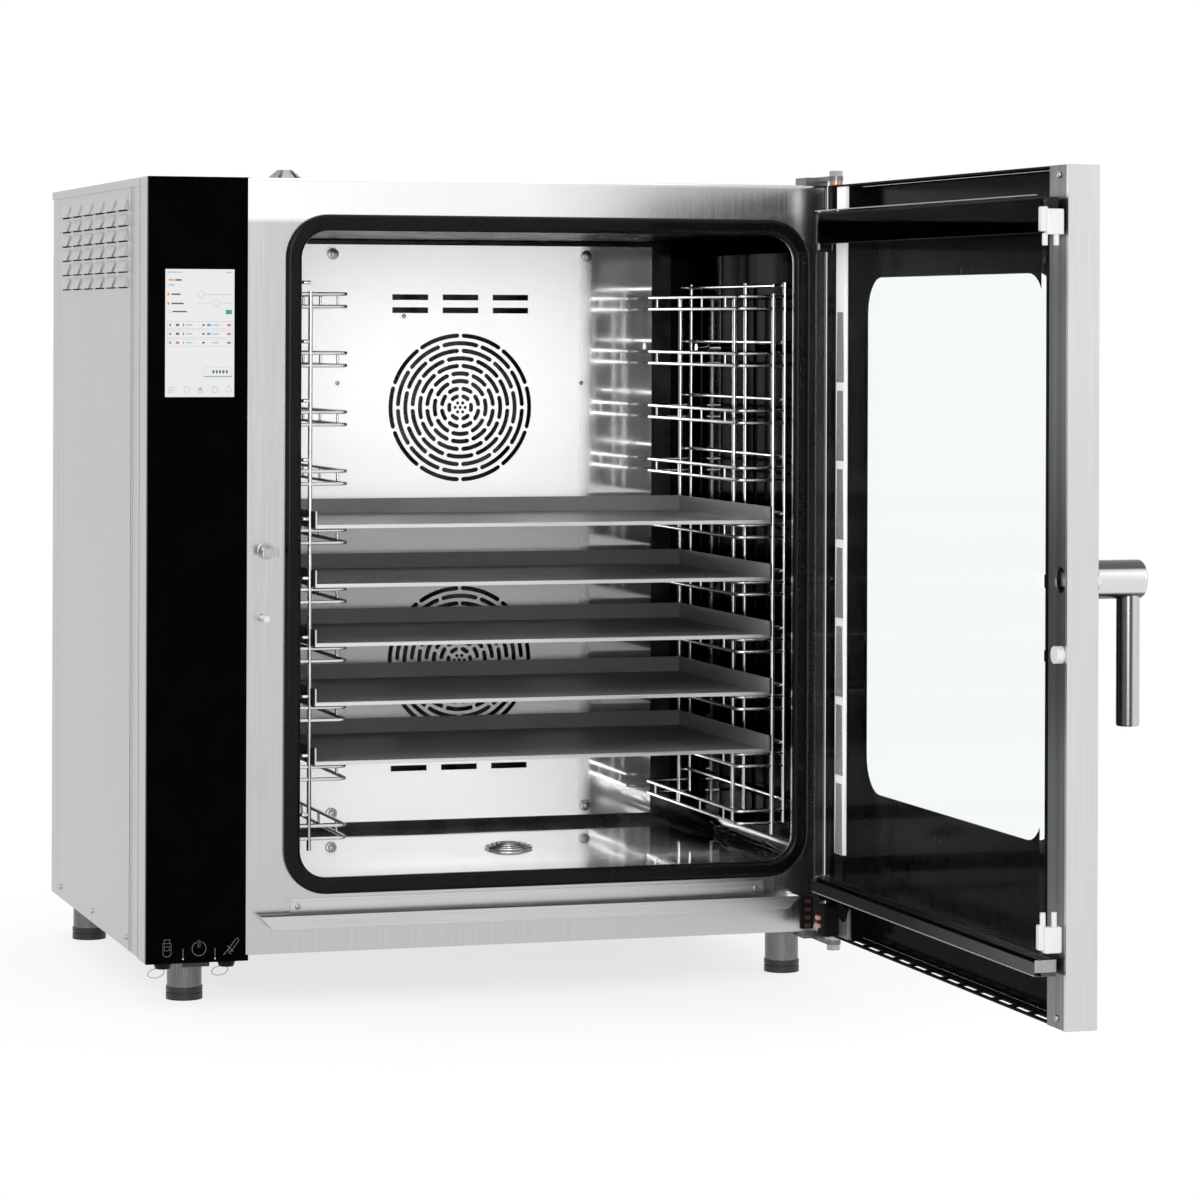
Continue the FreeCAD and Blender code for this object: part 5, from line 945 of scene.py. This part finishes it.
SCREEN_LEFT, SCREEN_RIGHT = 18.8, 94.4
SCREEN_LOW, SCREEN_HIGH = 657.8, 795.4
SCREEN_LIFT = 0.12
MARK_DEPTH = plain(0, -0.08, 0)
# The screen is narrower than high, so that lines across need a smaller share to be as thick
LINE_RATIO = 0.55
WHITE, PALE, DARK, ORANGE, PINK, GREEN, BLUE, RED = range(8)

screen = Shape(
    lit_mark("screen_white", (0.84, 0.84, 0.85)),
    lit_mark("screen_pale_grey", (0.52, 0.52, 0.54)),
    lit_mark("screen_dark_grey", (0.13, 0.13, 0.14)),
    lit_mark("screen_orange", (0.80, 0.36, 0.10)),
    lit_mark("screen_pink", (0.82, 0.42, 0.46)),
    lit_mark("screen_green", (0.05, 0.42, 0.15)),
    lit_mark("screen_blue", (0.10, 0.33, 0.62)),
    lit_mark("screen_red", (0.66, 0.18, 0.20)),
)
screen.block(
    (SCREEN_LEFT, -SCREEN_LIFT, SCREEN_LOW), (SCREEN_RIGHT, 0.0, SCREEN_HIGH), cab, 0.0, WHITE
)


def screen_at(u, v):
    x = SCREEN_LEFT + u * (SCREEN_RIGHT - SCREEN_LEFT)
    z = SCREEN_HIGH - v * (SCREEN_HIGH - SCREEN_LOW)
    return cab(x, -SCREEN_LIFT, z)


def flat(places, colour):
    screen.prism([screen_at(u, v) for u, v in places], MARK_DEPTH, colour)


def mark(u0, u1, v0, v1, colour):
    flat(((u0, v1), (u1, v1), (u1, v0), (u0, v0)), colour)


def bar(u0, u1, v, half, colour):
    mark(u0, u1, v - half, v + half, colour)


def outline(u0, u1, v0, v1, width):
    tall = width * LINE_RATIO
    mark(u0, u1, v0, v0 + tall, PALE)
    mark(u0, u1, v1 - tall, v1, PALE)
    mark(u0, u0 + width, v0 + tall, v1 - tall, PALE)
    mark(u1 - width, u1, v0 + tall, v1 - tall, PALE)


def hoop(u, v, radius, width, colour, sides=28):
    # A ring on the screen; radius and width are in millimetres
    centre = screen_at(u, v)
    turns = [2 * math.pi * i / sides for i in range(sides)]
    loops = [
        [centre + plain(r * math.cos(a), 0, r * math.sin(a)) for a in turns]
        for r in (radius, radius - width)
    ]
    screen.collar(*loops, MARK_DEPTH, colour)


# Top line and title
mark(0.02, 0.25, 0.021, 0.029, PALE)
mark(0.88, 0.97, 0.021, 0.029, PALE)
mark(0.045, 0.125, 0.078, 0.092, ORANGE)
mark(0.14, 0.235, 0.079, 0.092, DARK)
mark(0.045, 0.13, 0.119, 0.129, PALE)
# Two sliders and a switch
for v, length in ((0.197, 0.22), (0.269, 0.265)):
    bar(0.028, 0.062, v, 0.010, ORANGE)
    bar(0.09, length, v, 0.006, DARK)
mark(0.105, 0.31, 0.327, 0.338, DARK)
hoop(0.065, 0.333, 1.6, 0.4, PALE)
hoop(0.515, 0.197, 4.0, 0.6, PINK)
hoop(0.735, 0.266, 4.0, 0.6, PINK)
mark(0.58, 0.965, 0.195, 0.199, PALE)
mark(0.47, 0.67, 0.2645, 0.2675, PALE)
mark(0.80, 0.965, 0.2645, 0.2675, PALE)
mark(0.875, 0.962, 0.318, 0.352, GREEN)
# Three rows of a list
for row in range(3):
    v = 0.437 + row * 0.069
    outline(0.03, 0.97, v - 0.029, v + 0.029, 0.004)
    for u, wide in ((0.06, 0.022), (0.155, 0.045), (0.255, 0.015)):
        bar(u, u + wide, v, 0.009, RED if row == 2 and u > 0.1 else DARK)
    bar(0.30, 0.395, v, 0.005, PALE)
    bar(0.535, 0.57, v, 0.007, DARK)
    if row < 2:
        mark(0.605, 0.655, v - 0.009, v + 0.008, BLUE)
    bar(0.68, 0.775, v, 0.005, PALE)
    mark(0.895, 0.95, v - 0.008, v + 0.009, RED)
# Large button
outline(0.565, 0.965, 0.765, 0.842, 0.004)
mark(0.57, 0.97, 0.836, 0.843, GREEN)
for i in range(5):
    mark(0.685 + i * 0.048, 0.712 + i * 0.048, 0.790, 0.815, DARK)
# Signs along the foot
for i in range(3):
    mark(0.045, 0.135, 0.925 + i * 0.017, 0.930 + i * 0.017, PALE)
hoop(0.31, 0.942, 3.2, 0.5, PALE)
flat(((0.47, 0.946), (0.55, 0.946), (0.51, 0.918)), PALE)
outline(0.48, 0.54, 0.946, 0.968, 0.008)
outline(0.685, 0.755, 0.920, 0.966, 0.008)
hoop(0.92, 0.942, 3.0, 0.5, PALE)
mark(0.914, 0.926, 0.905, 0.918, PALE)
screen.place("screen_picture", "oven", "black_glass")


# Signs over the ports

SIGN_FACE = -0.08
SIGN_WIRE = 0.34


def arc(x, z, radius, start, end, steps):
    turns = [math.radians(start + (end - start) * i / steps) for i in range(steps + 1)]
    return [(x + radius * math.cos(a), z + radius * math.sin(a)) for a in turns]


OPEN, CLOSED = False, True
port_signs = (
    # Memory stick
    (
        (
            (18.6, 71.0), (18.6, 59.5), *arc(23.0, 61.0, 4.4, 200, 340, 8), (27.4, 59.5),
            (27.4, 71.0),
        ),
        CLOSED,
    ),
    (((20.0, 71.0), (20.0, 75.0), (26.0, 75.0), (26.0, 71.0)), OPEN),
    (((20.2, 67.6), (25.8, 67.6), (25.8, 63.4), (20.2, 63.4)), CLOSED),
    # Power
    (arc(58.0, 64.2, 7.6, 112, 428, 30), OPEN),
    (((56.9, 66.0), (59.1, 66.0), (59.1, 72.6), (56.9, 72.6)), CLOSED),
    # Probe
    (
        (
            (84.8, 56.4), (89.6, 61.6), (98.0, 72.6), (100.6, 74.0), (101.6, 71.4), (92.6, 59.2),
            (89.6, 61.6),
        ),
        OPEN,
    ),
    (((89.0, 66.0), (95.6, 59.6)), OPEN),
    (((90.2, 58.4), (93.4, 57.2)), OPEN),
    # Stems of the two arrows
    (((40.5, 64.6), (40.5, 54.2)), OPEN),
    (((75.5, 64.2), (75.5, 53.4)), OPEN),
)
sign_paths = [([cab(x, SIGN_FACE, z) for x, z in points], closed) for points, closed in port_signs]
# The port signs and dots are print that glows: painted light
print_grey = lit_mark("port_sign_print", (0.17, 0.17, 0.17))
wires("port_signs", sign_paths, SIGN_WIRE, 0.0, 6, print_grey, "oven", "black_glass")
dots = Shape(lit_mark("port_dot_print", (0.70, 0.70, 0.70)))
for x, z in ((40.5, 53.6), (75.5, 52.8)):
    dots.rod(cab(x, 0.0, z), cab(x, -0.3, z), 0.9, 0.7, 16)
dots.place("port_dots", "oven", "black_glass")


# Wire loops that hold the port caps

CAP_LOOP_POINTS = 24
CAP_LOOP_WIRE = 0.35
CAP_LOOP_LEFT, CAP_LOOP_BACK, CAP_LOOP_HEIGHT = 8.0, 20.0, 36.6
CAP_LOOP_WIDE, CAP_LOOP_TALL = 8.4, 5.0
CAP_LOOP_TURN, CAP_LOOP_TILT = 3.0, 1.6

for x, body, word in ((23.0, "usb_plug", "usb"), (93.0, "probe_plug", "probe")):
    loop = []
    for i in range(CAP_LOOP_POINTS):
        across = math.cos(2 * math.pi * i / CAP_LOOP_POINTS)
        up = math.sin(2 * math.pi * i / CAP_LOOP_POINTS)
        loop.append(
            cab(
                x - CAP_LOOP_LEFT + CAP_LOOP_WIDE * across,
                CAP_LOOP_BACK - CAP_LOOP_TURN * across,
                CAP_LOOP_HEIGHT + CAP_LOOP_TALL * up + CAP_LOOP_TILT * across,
            )
        )
    paths = [(loop, CLOSED)]
    wires(word + "_cap_loop", paths, CAP_LOOP_WIRE, 0.0, 8, shade_steel, body, "satin_steel")


# Small fasteners, each made once at the origin and then repeated

STRAIGHT, TO_LEFT, TO_BACK = turned(0), turned(-90), turned(180)


def fasteners(name, form, places, turn, body="oven"):
    repeats(name, form, places, turn, satin_steel, body, "satin_steel")


head = Shape()
head.rod(plain(0, 0.2, 0), plain(0, -1.8, 0), 3.4, 2.9, 24, 0.5)
head.rod(plain(0, -1.7, 0), plain(0, -1.95, 0), 1.3, 1.3, 6)
screw = head.made("screw_form")
gutter_places = [cab(x, -1.5, 105.5) for x in (166.5, 692.0)]
channel_places = [leaf(134.0, -35.5, z) for z in (884.0, 66.0)]
back_places = [
    cab(x, CABINET_BACK, z) for x in (16.0, 388.5, 761.0) for z in (66.0, 360.0, 640.0, 872.0)
]
side_places = [cab(1.5, y, 62.0) for y in (120.0, 330.0, 540.0)]
fasteners("gutter_screws", screw, gutter_places, STRAIGHT)
fasteners("channel_screws", screw, channel_places, TO_LEFT, "door")
fasteners("rear_panel_screws", screw, back_places, TO_BACK)
fasteners("side_panel_screws", screw, side_places, TO_LEFT)
bpy.data.objects.remove(screw)

knob = Shape()
knob.rod(plain(0, 0.0, 0), plain(0, -3.0, 0), 7.0, 6.6, 24, 0.6)
knob.rod(plain(0, -2.8, 0), plain(0, -8.0, 0), 4.4, 4.0, 6, 0.4)
nut = knob.made("baffle_nut_form")
nut_places = [cab(x, BAFFLE_FACE, z) for x in (306.0, 622.0) for z in (153.5, 820.5)]
fasteners("baffle_nuts", nut, nut_places, STRAIGHT)
bpy.data.objects.remove(nut)

dome = Shape()
dome.rod(plain(0, 0.2, 0), plain(0, -1.6, 0), 3.0, 2.0, 20, 0.4)
rivet = dome.made("rivet_form")
rivet_places = [cab(x, BAFFLE_FACE, z) for x, z in ((393.5, 746.8), (312.0, 666.4), (616.0, 666.4))]
fasteners("baffle_rivets", rivet, rivet_places, STRAIGHT)
bpy.data.objects.remove(rivet)


# Copper rings on the upper hinge bolt and the contacts that feed the door's light

SLEEVE_OUTER, SLEEVE_INNER = 7.6, 7.15
CONTACT_HALF = 2.2
BLACK, BARE = range(2)

sleeves = Shape(copper)
for low, high in ((893.9, 895.0), (895.7, 896.8), (897.5, 898.4)):
    outer, inner = (ring(HINGE_X, HINGE_Y, low, r, 24) for r in (SLEEVE_OUTER, SLEEVE_INNER))
    sleeves.collar(outer, inner, plain(0, 0, high - low))
sleeves.place("hinge_sleeves", "oven", "copper_pipe")

# The oven's contacts use the dim copper, as painted shade
contact = Shape(black_paint, dim_copper)
contact.block((746.0, -3.0, 58.0), (761.0, 0.0, 94.0), cab, 0.8, BLACK)
for z in (61.8, 70.8, 79.9, 88.9):
    contact.block((750.5, -4.0, z - CONTACT_HALF), (757.0, -2.6, z + CONTACT_HALF), cab, 0.4, BARE)
contact.place("light_contacts", "oven", "black_plastic")
# The door's contacts use the bright copper, as painted light
finger = Shape(black_paint, bright_copper)
finger.block((740.0, -37.5, 58.5), (762.6, -21.0, 93.0), leaf, 1.5, BLACK)
for z in (69.5, 78.2):
    low, high = z - CONTACT_HALF, z + CONTACT_HALF
    finger.block((752.0, -21.4, low), (761.0, -17.5, high), leaf, 0.5, BARE)
finger.place("door_light_contacts", "door", "black_plastic")


# Edge strip of the frame beside the glass column, and dark strips that paint the shade in the seams
# of the left side

SEAM_HALF = 0.45

edge_strip = Shape(frame_steel)
edge_strip.block((109.2, -0.2, 55.5), (112.2, 0.4, 894.6), cab, 0.1)
edge_strip.place("column_edge_strip", "oven", "stainless")
# Painted shade: dark strips where the side panels meet
seams = Shape(shade_steel)
for y, high in ((46.2, 894.0), (96.4, 885.5)):
    seams.block((-0.15, y - SEAM_HALF, 50.0), (0.4, y + SEAM_HALF, high), cab, 0.1)
seams.place("left_side_seams", "oven", "stainless")


# Studio, in metres

FLOOR_HALF = 9
SHADOW_MIDDLE = (0.0, 0.23, 0.0)
SHADOW_NEAR, SHADOW_FAR = 0.30, 0.75
NEAR_WHITE = 0.7
ROOM_LIGHT = 0.75

floor_data = bpy.data.meshes.new("floor")
floor_corners = [
    (x * FLOOR_HALF, y * FLOOR_HALF, 0) for x, y in ((-1, -1), (1, -1), (1, 1), (-1, 1))
]
floor_data.from_pydata(floor_corners, [], [(0, 1, 2, 3)])
floor = bpy.data.objects.new("floor", floor_data)
bpy.context.scene.collection.objects.link(floor)


def seen_rays(tree):
    # One for rays that show the background: from the camera, off metal and through glass
    path = tree.nodes.new("ShaderNodeLightPath")
    seen = calc(tree, "MAXIMUM", path.outputs["Is Camera Ray"], path.outputs["Is Transmission Ray"])
    return calc(tree, "MAXIMUM", seen, path.outputs["Is Glossy Ray"])


def studio_floor():
    # Pale near the oven, where its shadow falls, and plain white far from it
    material = moulded("studio_floor", (0.92, 0.94), (0.7, 0.8), 60.0, (0.02, 0.4))
    tree = material.node_tree
    place = tree.nodes.new("ShaderNodeTexCoord")
    reach = tree.nodes.new("ShaderNodeVectorMath")
    reach.operation = "DISTANCE"
    tree.links.new(place.outputs["Object"], reach.inputs[0])
    reach.inputs[1].default_value = SHADOW_MIDDLE
    far = ramp(tree, reach.outputs["Value"], SHADOW_NEAR, SHADOW_FAR, NEAR_WHITE, 1.0)
    white = tree.nodes.new("ShaderNodeEmission")
    mix = tree.nodes.new("ShaderNodeMixShader")
    tree.links.new(calc(tree, "MULTIPLY", far, seen_rays(tree)), mix.inputs[0])
    tree.links.new(tree.nodes["Principled BSDF"].outputs[0], mix.inputs[1])
    tree.links.new(white.outputs[0], mix.inputs[2])
    tree.links.new(mix.outputs[0], tree.nodes["Material Output"].inputs["Surface"])
    return material


floor_data.materials.append(studio_floor())

world = bpy.data.worlds.new("studio")
bpy.context.scene.world = world
world.use_nodes = True
world_tree = world.node_tree
background = world_tree.nodes["Background"]
background.inputs["Color"].default_value = shade(1.0)
strength = ramp(world_tree, seen_rays(world_tree), 0.0, 1.0, ROOM_LIGHT, 1.0)
world_tree.links.new(strength, background.inputs["Strength"])


def soft_light(name, place, target, width, height, power):
    data = bpy.data.lights.new(name, "AREA")
    data.shape = "RECTANGLE"
    data.size = width
    data.size_y = height
    data.energy = power
    lamp = bpy.data.objects.new(name, data)
    lamp.location = place
    lamp.rotation_euler = (Vector(target) - Vector(place)).to_track_quat("-Z", "Y").to_euler()
    bpy.context.scene.collection.objects.link(lamp)
    return lamp


soft_light("key_light", (-2.6, -3.2, 2.8), (0.0, 0.0, 0.5), 2.2, 2.2, 45)
soft_light("fill_light", (2.8, -3.0, 1.8), (0.1, 0.0, 0.5), 1.8, 2.2, 14)
soft_light("top_light", (0.0, 0.2, 3.4), (0.0, 0.1, 0.5), 2.4, 2.4, 16)
soft_light("front_light", (-0.7, -3.4, 0.9), (0.05, 0.3, 0.55), 1.2, 1.2, 25)
for name, y, z, target_z, width, height, power in (
    ("cavity_light", 40.0, 480.0, 480.0, 0.50, 0.64, 3.2),
    ("cavity_low_light", 70.0, 185.0, 160.0, 0.46, 0.05, 0.55),
):
    target = cab(CAVITY_MIDDLE, BAFFLE_FACE, target_z)
    lamp = soft_light(name, cab(CAVITY_MIDDLE, y, z), target, width, height, power)
    lamp.visible_camera = False
    lamp.visible_glossy = False

# A lens with a lowered front: the picture stays upright while the axis looks down a little
SENSOR = 36.0
FOCUS = 4116.56 / 1200.0
FALL = -0.2285 / FOCUS
STRETCH = math.hypot(1.0, FALL)
CAMERA_PLACE = (-1.2524, -4.4288, 0.7359)
CAMERA_TURN, CAMERA_ROLL = -0.3019, 0.0034

lean = Matrix.Identity(4)
lean[1][2] = -FALL / STRETCH
lean[2][2] = 1.0 / STRETCH
camera_data = bpy.data.cameras.new("camera")
camera_data.sensor_width = SENSOR
camera_data.lens = SENSOR * FOCUS * STRETCH
camera_data.clip_end = 60.0
camera = bpy.data.objects.new("camera", camera_data)
camera.parent = floor
camera.matrix_parent_inverse = (
    Matrix.Translation(CAMERA_PLACE)
    @ Matrix.Rotation(CAMERA_TURN, 4, "Z")
    @ Matrix.Rotation(math.radians(90), 4, "X")
    @ Matrix.Rotation(CAMERA_ROLL, 4, "Z")
    @ lean
)
bpy.context.scene.collection.objects.link(camera)
bpy.context.scene.camera = camera
bpy.context.scene.view_settings.view_transform = "Standard"
